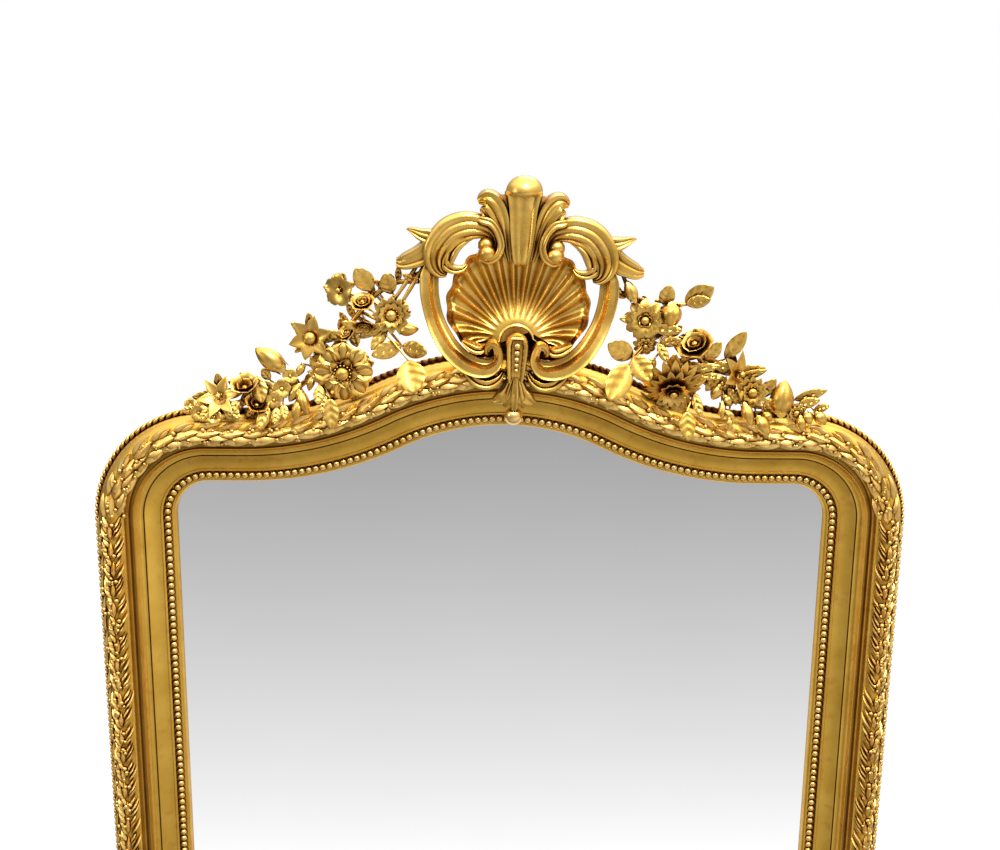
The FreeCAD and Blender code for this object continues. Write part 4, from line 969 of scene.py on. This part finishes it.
RIM = [
    (57, 256, F, 5, 17), (51, 254, F, 11, 23), (40, 251, F, 11, 24), (31, 240, F, 10, 24),
    (26, 224, F, 10, 23), (30, 210, F, 10, 23), (40, 203, F, 9, 22), (50, 205, F, 6, 17), (54, 210, F, 3, 9),
]
TAIL = [
    (100, 206, F, 10, 10), (96, 196, F, 15, 14), (86, 189, F, 13, 13), (74, 190, F, 9, 10),
    (68, 196, F, 4, 7),
]
INNER_LEAF = [
    (62, 232, F, 8, 11), (73, 228, F, 15, 15), (83, 220, F, 18, 17), (89, 209, F, 18, 17),
    (91, 198, F, 14, 15), (88, 190, F, 6, 10),
]
FOOT_LEAF = [
    (16, 62, M, 5, 9), (22, 53, M, 11, 13), (34, 46, M, 15, 15), (48, 48, M, 15, 15),
    (59, 57, M, 12, 14), (66, 66, M, 8, 12), (70, 74, M, 3, 6),
]
KNOB = [
    (70, 101, M, 6, 10), (62, 96, M, 12, 17), (53, 92, M, 13, 19), (45, 92, M, 12, 18),
    (40, 96, M, 6, 10),
]


def leaf_relief(q, t):
    strength = min(t * 5, 1)
    cut = reeds(q, (-1.0, -0.62, -0.2, 0.3, 1.0))
    hollow_in = 0.22 * max(0.3 - q, 0) / 1.3
    return (1 - strength * (0.26 * (1 - cut) + hollow_in)) * edge_fall(q)


def band_relief(q, t):
    sunk = 0.7 * min(max(-0.12 - q, 0) / 0.25, 1) * min(max((0.72 - t) / 0.1, 0.25), 1)
    return (0.95 - sunk + 0.08 * math.exp(-((q - 0.85) / 0.12) ** 2)) * edge_fall(q)


rim_relief = reeded(0.14, (-1.0, -0.1, 1.0), 2.2)
round_relief = reeded(0.25, (-1.0, 0.0, 1.0), 1.6)
SCROLL_BANDS = (
    (LEAF, leaf_relief, 90), (BAND, band_relief, 120), (RIM, rim_relief, 70), (TAIL, round_relief, 30),
    (INNER_LEAF, round_relief, 40), (FOOT_LEAF, round_relief, 50), (KNOB, round_relief, 30),
)
HANDS = ((-1, "left"), (1, "right"))
EYES = ((43, 212, 14, 12, 1.0), (44.5, 222, 10, 11, 0.9))


def turned(relief, side):
    """A relief whose outer edge stays outside when its band is mirrored."""
    return lambda q, t: relief(q * side, t)


for side, hand in HANDS:
    carve(f"{hand}_c_scroll", f"{hand}_scroll",
          [(mirrored(rows, side), turned(relief, side), along, 36) for rows, relief, along in SCROLL_BANDS])

eyes = bmesh.new()
for side, hand in HANDS:
    for across, up, proud, radius, squash in EYES:
        ball(eyes, spread_flower(crest(side * across, up, FRONT_SEAT + proud), FRONT), radius, squash)
finish_piece(eyes, "scroll_eyes", carved_gold, "volute_bosses")

# %% [markdown]
# ## Plume, sprays and finial
# The plume is a leaf that stands up between the scrolls, with its tongue hanging over the
# shell's rim. Reeds run its whole length, a wider leaf backs it, and two lobes on each side curl
# over at the top. The sprays are the free ends of the acanthus, and a plain dome closes the top.

# %% Plume
PLUME = [
    (0, 197, F, 6, 12), (0, 199, F, 15, 19), (0, 204, F, 22, 23), (0, 218, F, 29, 24), (0, 238, F, 35, 23),
    (0, 258, F, 39, 21), (0, 272, F, 43, 20), (0, 284, F, 48, 22), (0, 290, F, 48, 23),
]


def plume_relief(q, t):
    lobes_in = 0.74 + 0.26 * reeds(q, (-1.0, -0.55, 0.12, 0.62, 1.0))
    smooth_foot = min(max((t - 0.12) * 3, 0), 1)
    return (lobes_in * smooth_foot * 0.5 + 0.95 * (1 - smooth_foot * 0.5)) * edge_fall(q, 2)


PLUME_BACK = [
    (0, 204, F, 30, 8), (0, 222, F, 38, 10), (0, 244, F, 50, 12), (0, 262, F, 66, 13),
    (0, 276, F, 74, 13), (0, 286, F, 62, 11),
]
plain_relief = reeded(0, (-1.0, 1.0), 3.2)
carve("plume", "plume_leaf", [(PLUME, plume_relief, 70, 44), (PLUME_BACK, plain_relief, 40, 30)])

lobe_relief = reeded(0.18, (-1.0, -0.36, 0.3, 1.0), 2)
PLUME_LOBES = [
    [(15, 203, F, 8, 10), (19, 219, F, 14, 14), (23, 238, F, 19, 17), (28, 256, F, 25, 20),
     (35, 270, F, 29, 22), (43, 278, F, 28, 22), (50, 279, F, 22, 19), (57, 276, F, 8, 12)],
    [(20, 222, F, 10, 12), (26, 238, F, 17, 16), (34, 251, F, 22, 18), (42, 260, F, 21, 18),
     (49, 265, F, 15, 15), (54, 267, F, 5, 9)],
]
carve("plume_side_lobes", "plume_lobes",
      [(mirrored(rows, side), lobe_relief, 54, 30) for side, hand in HANDS for rows in PLUME_LOBES])

S = FRONT_SEAT - 4
SPRAYS = [
    [(104, 226, S, 16, 14), (116, 228, S, 21, 16), (128, 231, S, 16, 14), (138, 235, S, 9, 10),
     (146, 237, S, 2, 5)],
    [(104, 226, S, 18, 15), (113, 216, S, 28, 18), (124, 206, S, 29, 18), (138, 199, S, 25, 17),
     (150, 195, S, 20, 15), (158, 195, S, 10, 10)],
]
for side, hand in HANDS:
    carve(f"{hand}_acanthus_spray", f"{hand}_spray",
          [(mirrored(rows, side), lobe_relief, 40, 30) for rows in SPRAYS])

# The finial's profile, from below: (radius, height).
FINIAL = [(0, 1), (17, 1), (21, 2), (23, 5), (23, 9), (21, 15), (16, 21), (9, 25), (0, 26.5)]
FINIAL_FOOT = 285


def finial_shape(t, turn):
    r, height = flow(FINIAL, t)
    point = crest(0, FINIAL_FOOT + height, FRONT_SEAT + 11)
    return point + Vector((math.cos(turn), math.sin(turn), 0)) * max(r, 0) * MM


top = bmesh.new()
roll(top, 26, 32, finial_shape)
finish_piece(top, "dome_finial", carved_gold, "finial")

# %% [markdown]
# ## The pendant
# Under the shell a small bracket hangs over the moulding, with a sunk panel and five pearls that
# grow smaller downwards. Pointed husk leaves flare below it and hold a single bright drop.

# %% Pendant
BRACKET = [
    (0, 50, M, 18, 16), (0, 60, M, 23, 19), (0, 76, M, 26, 21), (0, 92, M, 29, 22),
    (0, 101, M, 28, 22), (0, 107, M, 23, 21), (0, 111, M, 14, 19), (0, 113, M, 4, 12),
]


def bracket_relief(q, t):
    inside = min(max((0.62 - abs(q)) / 0.12, 0), 1) * min(max((0.74 - t) / 0.06, 0), 1)
    return (1 - 0.18 * inside) * edge_fall(q, 2.6)


carve("pendant_panel", "pendant_bracket", [(BRACKET, bracket_relief, 56, 40)])

PEARLS, FIRST_PEARL, PEARL_SHRINK, PEARL_GAP = 5, 4.6, 0.08, 0.2
PEARL_PROUD, PEARL_SINK = 20.5, 0.7
pearls = bmesh.new()
height = 104.0
for step in range(PEARLS):
    radius = FIRST_PEARL * (1 - PEARL_SHRINK * step)
    height -= radius
    depth = MOULDING_SEAT + PEARL_PROUD - step * PEARL_SINK
    ball(pearls, Matrix.Translation(crest(0, height, depth)), radius)
    height -= radius + PEARL_GAP
finish_piece(pearls, "pendant_beads", pearl_gold, "pendant_pearls")

husk_relief = reeded(0.4, (-1.0, -0.15, 1.0), 1.8)
HUSK = [
    [(-2, 60, M, 9, 12), (-5, 50, M, 13, 14), (-9, 39, M, 17, 15), (-16, 30, M, 19, 15), (-27, 24, M, 7, 9)],
    [(2, 60, M, 9, 12), (5, 50, M, 13, 14), (9, 39, M, 17, 15), (16, 30, M, 19, 15), (26, 23, M, 7, 9)],
    [(-1, 58, M + 3, 8, 12), (-4, 44, M + 3, 12, 14), (-7, 30, M + 3, 13, 14), (-12, 17, M + 2, 5, 8)],
    [(1, 58, M + 3, 8, 12), (4, 44, M + 3, 12, 14), (7, 30, M + 3, 13, 14), (12, 17, M + 2, 5, 8)],
    [(0, 58, M + 6, 7, 11), (0, 42, M + 6, 11, 13), (0, 27, M + 6, 12, 12), (0, 13, M + 3, 7, 8)],
]
carve("husk_leaves", "pendant_husk", [(rows, husk_relief, 30, 24) for rows in HUSK])

DROP_UP, DROP_RADIUS = 3.5, 12.4
drop = bmesh.new()
ball(drop, Matrix.Translation(crest(0, DROP_UP, MOULDING_SEAT)), DROP_RADIUS)
finish_piece(drop, "bright_drop", pearl_gold, "pendant_drop")

# %% [markdown]
# ## Places on the frame's top edge
# The flowers are set out as a maker would set them: so far from the middle, so far above the
# frame's edge, and so far out from the wall. edge_height() knows the arched edge, and perch()
# turns the three numbers into a point.

# %% Garland frame


def edge_height(x):
    x = abs(x)
    crown = CROWN_RADIUS + MOULDING
    sweep = SWEEP_RADIUS - MOULDING
    if x <= crown * math.sin(SWEEP):
        return CROWN_Z + math.sqrt(crown ** 2 - x ** 2)
    if x < FLAT_X:
        return SWEEP_Z - math.sqrt(sweep ** 2 - (FLAT_X - x) ** 2)
    rounded = max(x - CORNER_X, 0)
    corner = CORNER_RADIUS + MOULDING
    return CORNER_Z + math.sqrt(corner ** 2 - rounded ** 2)


def perch(x_mm, rise_mm, depth_mm):
    x = x_mm * MM
    return Vector((x, WALL_Y - depth_mm * MM, edge_height(x) + rise_mm * MM))


# %% [markdown]
# ## Kinds of flower
# Each kind is rings of blades round a heart. What tells them apart is how many petals there are,
# how wide they are, how far they cup or fall back, and what sits in the heart: a smooth dome for
# a narcissus, a bristle of beads for an anemone, a tight coil of petals for a rose.

# %% Flower kinds
CARVED_THICKER, PETAL_FOLD = 1.5, 0.3


def petal_ring(bm, place, count, reach, width, cup, curl=0.0, start=0.0, pleats=0, full=1.2, thick=2.2,
               inner=2.0, detail=(9, 12)):
    """Petals round a heart; cup is how far they lift towards the viewer, in degrees."""
    for index in range(count):
        spin = Matrix.Rotation(start + 2 * math.pi * index / count, 4, "Z")
        lift = Matrix.Rotation(math.radians(cup), 4, "X")
        out = Matrix.Translation((0, inner * MM, 0))
        blade(bm, place @ spin @ out @ lift, reach - inner, width, thick * CARVED_THICKER, PETAL_FOLD,
              curl, pleats, full, detail)


def heart(bm, place, radius, height, beads=0, bead_radius=1.2):
    """A domed heart, with a ring of beads round it where the kind has stamens."""
    ball(bm, place @ Matrix.Translation((0, 0, height * MM)), radius, 0.75)
    for index in range(beads):
        angle = 2 * math.pi * index / beads
        spread = (radius + bead_radius) * MM
        offset = Vector((math.cos(angle) * spread, math.sin(angle) * spread, height * MM * 0.8))
        ball(bm, place @ Matrix.Translation(offset), bead_radius)


def anemone(bm, place, size):
    petal_ring(bm, place, 8, size, size * 0.8, 10, -0.18, pleats=3, full=2.5, detail=(12, 26))
    petal_ring(bm, place, 5, size * 0.6, size * 0.45, 34, -0.1, 0.4, pleats=2, full=1.6, detail=(10, 18))
    heart(bm, place, size * 0.23, size * 0.32, 14, 1.5)


def narcissus(bm, place, size):
    petal_ring(bm, place, 6, size, size * 0.62, 18, -0.1, 0.2, full=1.0, thick=2.6)
    heart(bm, place, size * 0.27, size * 0.25)


def star_lily(bm, place, size):
    petal_ring(bm, place, 6, size, size * 0.5, 30, -0.2, 0.3, full=0.9, thick=2.6)
    heart(bm, place, size * 0.12, size * 0.35, 5, 1.1)


def cup_flower(bm, place, size):
    petal_ring(bm, place, 5, size * 1.15, size * 1.1, 52, -0.12, 0.1, full=1.8, thick=2.2)
    petal_ring(bm, place, 3, size * 0.9, size * 0.9, 68, -0.05, 0.6, full=1.8, thick=2)
    heart(bm, place, size * 0.2, size * 0.35, 6, 1.1)


def daisy(bm, place, size):
    petal_ring(bm, place, 12, size, size * 0.46, 12, -0.08, full=1.5, thick=2)
    petal_ring(bm, place, 10, size * 0.76, size * 0.4, 32, -0.08, 0.26, full=1.5, thick=2)
    heart(bm, place, size * 0.3, size * 0.26, 10, 1.0)


def zinnia(bm, place, size):
    petal_ring(bm, place, 9, size * 1.02, size * 0.56, 0, -0.2, full=1.7, thick=3.0)
    petal_ring(bm, place, 8, size * 0.76, size * 0.44, 22, -0.1, 0.35, full=1.6, thick=2.6)
    petal_ring(bm, place, 5, size * 0.48, size * 0.32, 44, 0, 0.1, full=1.5, thick=2.2)
    heart(bm, place, size * 0.2, size * 0.34)


def chrysanthemum(bm, place, size):
    petal_ring(bm, place, 16, size, size * 0.3, -6, -0.2, full=1.4, thick=2.6)
    petal_ring(bm, place, 15, size * 0.86, size * 0.28, 16, -0.18, 0.2, full=1.4, thick=2.4)
    petal_ring(bm, place, 12, size * 0.62, size * 0.26, 40, -0.1, 0.1, full=1.4, thick=2.2)
    petal_ring(bm, place, 8, size * 0.4, size * 0.22, 62, 0, 0.3, full=1.3, thick=2)
    heart(bm, place, size * 0.12, size * 0.3)


def rose(bm, place, size):
    for ring, (count, reach, cup) in enumerate(((5, 1.1, 34), (5, 0.95, 52), (4, 0.8, 68), (3, 0.6, 80))):
        petal_ring(bm, place, count, size * reach, size * reach * 1.05, cup, -0.1 + 0.03 * ring,
                   ring * 0.7, full=2.0, thick=2.2, inner=1)
    heart(bm, place, size * 0.16, size * 0.5)


def trumpet(bm, place, size):
    petal_ring(bm, place, 5, size, size * 0.95, 20, -0.25, full=1.9, thick=2.4)
    heart(bm, place, size * 0.16, size * 0.2, 5, 0.9)


def forget_me_not(bm, place, size):
    petal_ring(bm, place, 5, size, size * 0.9, 12, full=1.9, thick=2, inner=0.8, detail=(7, 10))
    heart(bm, place, size * 0.22, 1.4)


KINDS = {
    "anemone": anemone, "narcissus": narcissus, "lily": star_lily, "cup_flower": cup_flower,
    "trumpet_flower": trumpet, "daisies": daisy, "roses": rose, "rose": rose, "zinnia": zinnia,
    "forget_me_nots": forget_me_not, "chrysanthemum": chrysanthemum,
}


def bud(bm, start, tip, width):
    """A closed bud: a fat drop creased between its petals, in a small collar."""
    place = standing(start, tip, FRONT)
    length = (tip - start).length / MM

    def shape(t, turn):
        fat = math.sin(math.pi * t ** 0.8) ** 0.7 if 0 < t < 1 else 0
        crease = 1 - 0.16 * math.exp(-((math.sin(1.5 * turn + 1.2 * t)) / 0.22) ** 2)
        r = width / 2 * fat * crease
        return place @ (Vector((r * math.cos(turn), length * t, r * math.sin(turn))) * MM)

    roll(bm, 16, 30, shape)
    for index in range(4):
        spin = Matrix.Rotation(math.pi * index / 2, 4, "Y")
        shift = Matrix.Translation((0, -1 * MM, width * 0.3 * MM))
        blade(bm, place @ spin @ shift, length * 0.4, width * 0.4, 1.6, 0, 0.15, detail=(6, 8))


def carved_leaf(bm, start, tip, width):
    """A thick leaf with a groove for its midrib and shallow side veins."""
    length = (tip - start).length / MM
    blade(bm, standing(start, tip, FRONT), length, width, thick=6, fold=0.16, curl=0.12,
          full=1.25, detail=(20, 20), veins=0.6)


# %% [markdown]
# ## The two garlands
# A stem rises from each shoulder along the frame's edge and climbs to the scroll. Stalks leave
# it for every flower, and leaves and buds fill in between. The two sides differ, so each has its
# own lists. The stem runs so far from the middle and so far above the edge. Flowers, buds and
# leaves are set out as they're seen: so far across and down the picture, and so far from the wall.
# A collar of leaves stands behind each large flower, and short sprigs line the stem.

# %% Garland lists
# A bloom is (kind, place in the picture and depth, lean to the side and up, size); a bud or a
# leaf is (foot, tip, width).
LEFT_STEM = [
    (402, 3.3, 44), (372, 3.3, 44), (335, 3.3, 44), (295, 10, 46), (262, 22, 48), (235, 45, 50),
    (205, 75, 50), (172, 102, 50), (140, 110, 52), (110, 104, 62),
]
RIGHT_STEM = [
    (402, 3.3, 44), (372, 3.3, 44), (335, 3.3, 44), (300, 14, 46), (262, 30, 48), (235, 55, 50),
    (205, 85, 50), (178, 104, 50), (147, 104, 62),
]
LEFT_BLOOMS = [
    ("anemone", (343.5, 371.5, 74), (0.05, -0.05), 38), ("narcissus", (311, 338, 66), (0.15, 0.15), 30),
    ("lily", (220, 398, 66), (0.1, 0.5), 31), ("cup_flower", (246, 392, 66), (0.1, 1.5), 23),
    ("cup_flower", (256, 408, 72), (-0.4, 1.1), 20), ("trumpet_flower", (340, 290, 60), (0.6, 0.0), 22),
    ("daisies", (391.5, 315, 64), (0, 0.05), 25), ("roses", (363, 306, 62), (0.1, 1.3), 17),
    ("roses", (365, 322, 66), (0.1, -1.1), 15), ("roses", (349, 335, 62), (0.8, 0.9), 14),
    ("forget_me_nots", (199, 413, 70), (0.1, 0.1), 12), ("forget_me_nots", (207, 404, 70), (0, 0.3), 11),
    ("forget_me_nots", (214, 417, 76), (0, 0.3), 11), ("forget_me_nots", (191, 405, 64), (0.3, 0.4), 10),
    ("forget_me_nots", (282, 389, 70), (0.2, 0.2), 14), ("forget_me_nots", (274, 400, 74), (0, 0), 12),
    ("forget_me_nots", (267, 388, 68), (0, 0.2), 11), ("forget_me_nots", (290, 376, 66), (-0.2, 0.2), 11),
    ("forget_me_nots", (232, 412, 74), (0, 0.2), 11),
]
RIGHT_BLOOMS = [
    ("chrysanthemum", (673, 388, 76), (0, -0.7), 42), ("rose", (697, 350, 68), (-0.6, 1.3), 26),
    ("zinnia", (645, 320, 66), (-0.1, 0.05), 27), ("zinnia", (645, 345, 60), (0, -0.3), 16),
    ("lily", (736, 376, 62), (0.75, 0.4), 35), ("daisies", (752, 392, 70), (0, 0), 22),
    ("daisies", (796, 413, 72), (0, 0), 15), ("daisies", (722, 383, 66), (-0.2, 0), 11),
    ("daisies", (736, 397, 70), (0, 0), 11), ("daisies", (768, 406, 70), (0.2, 0), 11),
    ("daisies", (712, 372, 62), (0, 0.3), 12),
]
LEFT_BUDS = [
    ((285, 370, 64), (255, 348, 68), 27), ((300, 384, 66), (289, 402, 74), 15),
    ((299, 390, 72), (308, 415, 84), 16), ((300, 399, 74), (294, 420, 86), 14),
    ((312, 376, 64), (309, 391, 70), 11), ((304, 364, 62), (296, 377, 64), 11),
    ((398, 330, 62), (419, 329, 66), 17),
]
RIGHT_BUDS = [
    ((635, 302, 66), (626, 280, 66), 17), ((671, 303, 58), (671, 329, 68), 28),
    ((720, 385, 66), (712, 400, 72), 16), ((724, 396, 68), (732, 406, 74), 15),
    ((722, 402, 76), (722, 420, 86), 10), ((725, 411, 82), (735, 419, 88), 10),
    ((729, 418, 86), (730, 431, 90), 9), ((744, 403, 78), (752, 427, 90), 16),
    ((757, 416, 84), (769, 436, 92), 19), ((764, 413, 80), (772, 421, 84), 12),
    ((779, 416, 68), (785, 380, 70), 32), ((805, 412, 78), (811, 425, 82), 13),
    ((815, 412, 72), (826, 425, 76), 16), ((800, 416, 78), (802, 432, 84), 13),
]
LEFT_LEAVES = [
    ((269, 407, 78), (258, 430, 88), 16), ((277, 407, 78), (275, 425, 86), 13),
    ((257, 376, 68), (263, 403, 76), 20), ((330, 398, 84), (332, 429, 90), 21),
    ((320, 385, 76), (318, 405, 84), 15), ((326, 396, 80), (321, 413, 86), 13),
    ((310, 357, 64), (328, 371, 68), 22), ((308, 372, 66), (329, 381, 68), 16),
    ((372, 291, 56), (355, 267, 62), 26), ((391, 294, 56), (385, 272, 62), 22),
    ((373, 333, 62), (341, 321, 68), 15), ((359, 338, 64), (386, 322, 68), 14),
    ((346, 343, 62), (329, 330, 66), 15), ((387, 326, 60), (371, 350, 66), 16),
    ((402, 345, 62), (371, 355, 68), 23), ((402, 346, 62), (428, 353, 68), 23),
    ((408, 360, 76), (415, 394, 92), 37), ((396, 300, 58), (409, 311, 62), 14),
    ((357, 347, 62), (352, 328, 62), 15), ((228, 407, 74), (241, 419, 80), 14),
    ((210, 408, 72), (200, 421, 78), 12), ((196, 408, 66), (182, 411, 68), 11),
    ((283, 404, 76), (286, 420, 84), 12), ((270, 380, 64), (262, 368, 64), 13),
    ((240, 400, 72), (228, 416, 80), 13), ((354, 352, 60), (371, 362, 64), 16),
]
RIGHT_LEAVES = [
    ((665, 306, 56), (669, 284, 60), 21), ((685, 303, 56), (714, 286, 62), 27),
    ((686, 304, 60), (711, 299, 66), 17), ((653, 329, 64), (683, 330, 70), 15),
    ((660, 344, 64), (682, 339, 70), 14), ((658, 343, 66), (668, 363, 72), 13),
    ((633, 357, 60), (607, 343, 64), 28), ((633, 356, 66), (651, 382, 78), 29),
    ((629, 364, 68), (607, 401, 88), 34), ((679, 371, 70), (721, 365, 72), 13),
    ((697, 375, 70), (723, 377, 72), 11), ((687, 411, 86), (688, 441, 94), 21),
    ((694, 393, 78), (701, 417, 86), 13), ((725, 359, 60), (746, 330, 64), 21),
    ((705, 361, 62), (721, 341, 64), 19), ((708, 367, 64), (734, 366, 68), 15),
    ((735, 380, 60), (767, 369, 64), 12), ((758, 398, 66), (776, 378, 68), 18),
    ((794, 400, 64), (827, 389, 68), 15), ((797, 406, 70), (820, 399, 72), 14),
    ((814, 410, 68), (829, 405, 68), 12), ((706, 391, 66), (719, 373, 68), 14),
    ((655, 358, 64), (645, 374, 66), 14), ((738, 402, 74), (728, 388, 70), 12),
    ((776, 412, 74), (765, 398, 70), 14), ((690, 362, 62), (703, 376, 64), 16),
]
LEFT_TWIGS = [
    [(423, 256, 58), (409, 278, 60), (394, 300, 58)], [(425, 264, 60), (413, 284, 62), (400, 306, 60)],
]
RIGHT_TWIGS = [
    [(621, 270, 58), (629, 290, 62), (641, 312, 60)], [(655, 300, 54), (676, 304, 56), (687, 304, 56)],
]

# %% Garlands
COLLAR_FROM, COLLAR_LEAVES, COLLAR_BEHIND = 19, 5, 9 * MM
SPRIG_LEAVES = 4
TWIG_RADIUS = 1.3


def nearest(line, point):
    """The point of a bent line that lies nearest to a place."""
    best = line[0]
    for start, finish in zip(line, line[1:]):
        run = finish - start
        share = min(max((point - start).dot(run) / run.dot(run), 0), 1)
        if (start + run * share - point).length < (best - point).length:
            best = start + run * share
    return best


def twig(bm, line, point):
    """A bowed stalk from the stem to a flower, leaf or bud."""
    foot = nearest(line, point)
    middle = (foot + point) / 2 + Vector((0, 0, 0.1)) * (foot - point).length
    stalk(bm, [foot, middle, point], [TWIG_RADIUS * 1.3, TWIG_RADIUS, TWIG_RADIUS], 7)


def seen(x, y, depth):
    """The point that shows at a place in the picture, at a depth out from the wall."""
    aside = VIEW_ACROSS * (x - PHOTO_WIDTH / 2) + VIEW_DOWN * (y - PHOTO_HEIGHT / 2)
    ray = VIEW_AHEAD + aside / FOCAL_PIXELS
    start = camera.matrix_world.translation
    return start + ray * ((WALL_Y - depth * MM - start.y) / ray.y)


def collar(bm, centre, size, draw):
    """A ring of leaves behind a large flower."""
    foot = centre - FRONT * COLLAR_BEHIND
    for index in range(COLLAR_LEAVES):
        angle = 2 * math.pi * (index + draw.random() * 0.5) / COLLAR_LEAVES
        way = Vector((math.cos(angle), 0, math.sin(angle)))
        reach = way * (size * draw.uniform(0.95, 1.2) * MM)
        carved_leaf(bm, foot, foot + reach, size * draw.uniform(0.42, 0.56))


def sprigs(bm, line, draw):
    """Short leaves that leave the stem upwards, span by span."""
    for start, finish in zip(line[2:], line[3:]):
        for index in range(SPRIG_LEAVES):
            foot = start + (finish - start) * (index + 0.5) / SPRIG_LEAVES
            angle = math.pi * draw.uniform(0.1, 0.9)
            way = Vector((math.cos(angle), draw.uniform(-0.5, 0.2), math.sin(angle)))
            reach = way * draw.uniform(15, 24) * MM
            carved_leaf(bm, foot, foot + reach, draw.uniform(8, 12))


def garland(hand, stem_spots, blooms, buds, leaves, twigs):
    """One side's garland: a stem, and one piece for each kind of flower, the buds and the leaves."""
    side = -1 if hand == "left" else 1
    draw = random.Random(11)
    line = [perch(side * x, rise, depth) for x, rise, depth in stem_spots]
    stem = bmesh.new()
    stalk(stem, line, [2.4, 3.2, 3.6, 3.6, 3.2], 10, 5)
    for spots in twigs:
        stalk(stem, [seen(*place) for place in spots], [2.6, 2.8, 2.4], 8)
    made = defaultdict(bmesh.new)
    for kind, place, (lean_x, lean_z), size in blooms:
        centre = seen(*place)
        facing = (FRONT + Vector((side * lean_x, 0, lean_z))).normalized()
        KINDS[kind](made[kind], spread_flower(centre, facing), size)
        twig(stem, line, centre - facing * 3 * MM)
        if size >= COLLAR_FROM:
            collar(made["leaves"], centre, size, draw)
    sprigs(made["leaves"], line, draw)
    for kind, items, make in (("buds", buds, bud), ("leaves", leaves, carved_leaf)):
        for start, tip, width in items:
            make(made[kind], seen(*start), seen(*tip), width)
            twig(stem, line, seen(*start))
    for kind, bm in made.items():
        piece = finish_piece(bm, f"{hand}_carved_{kind}", carved_gold, f"{hand}_{kind}")
        print(piece.name, len(piece.data.polygons), "faces")
    finish_piece(stem, f"{hand}_carved_stem", carved_gold, f"{hand}_garland_stem")


garland("left", LEFT_STEM, LEFT_BLOOMS, LEFT_BUDS, LEFT_LEAVES, LEFT_TWIGS)
garland("right", RIGHT_STEM, RIGHT_BLOOMS, RIGHT_BUDS, RIGHT_LEAVES, RIGHT_TWIGS)

# %% [markdown]
# ## Finishes of the pieces that keep their shape
# The glass, the boards, the blocks, the keys and the ironwork are right as they are, so they
# only get their finish.

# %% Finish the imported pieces
KEPT = {
    "mirror_plate": silvered,
    "lowest_board": pine, "lower_board": pine, "upper_board": pine, "arched_board": pine,
    # The crest block's near-black finish is painted shade behind the carvings.
    "glazing_blocks": pine, "crest_block": painted_shade_block,
    "mitre_keys": hardwood, "stile_keys": hardwood, "crown_keys": hardwood, "crest_dowels": hardwood,
    "backboard_nails": iron, "hanger_screws": iron,
    "left_hanger_plate": iron, "right_hanger_plate": iron,
    "left_hanger_ring": iron, "right_hanger_ring": iron,
}
for node, material in KEPT.items():
    mesh = frame["nodes"][node].data
    mesh.materials.clear()
    mesh.materials.append(material)
shown = [name for name, node in frame["nodes"].items() if not node.hide_render]
print("packed pieces shown", len(shown), "without a finish", sorted(set(shown) - set(KEPT)))
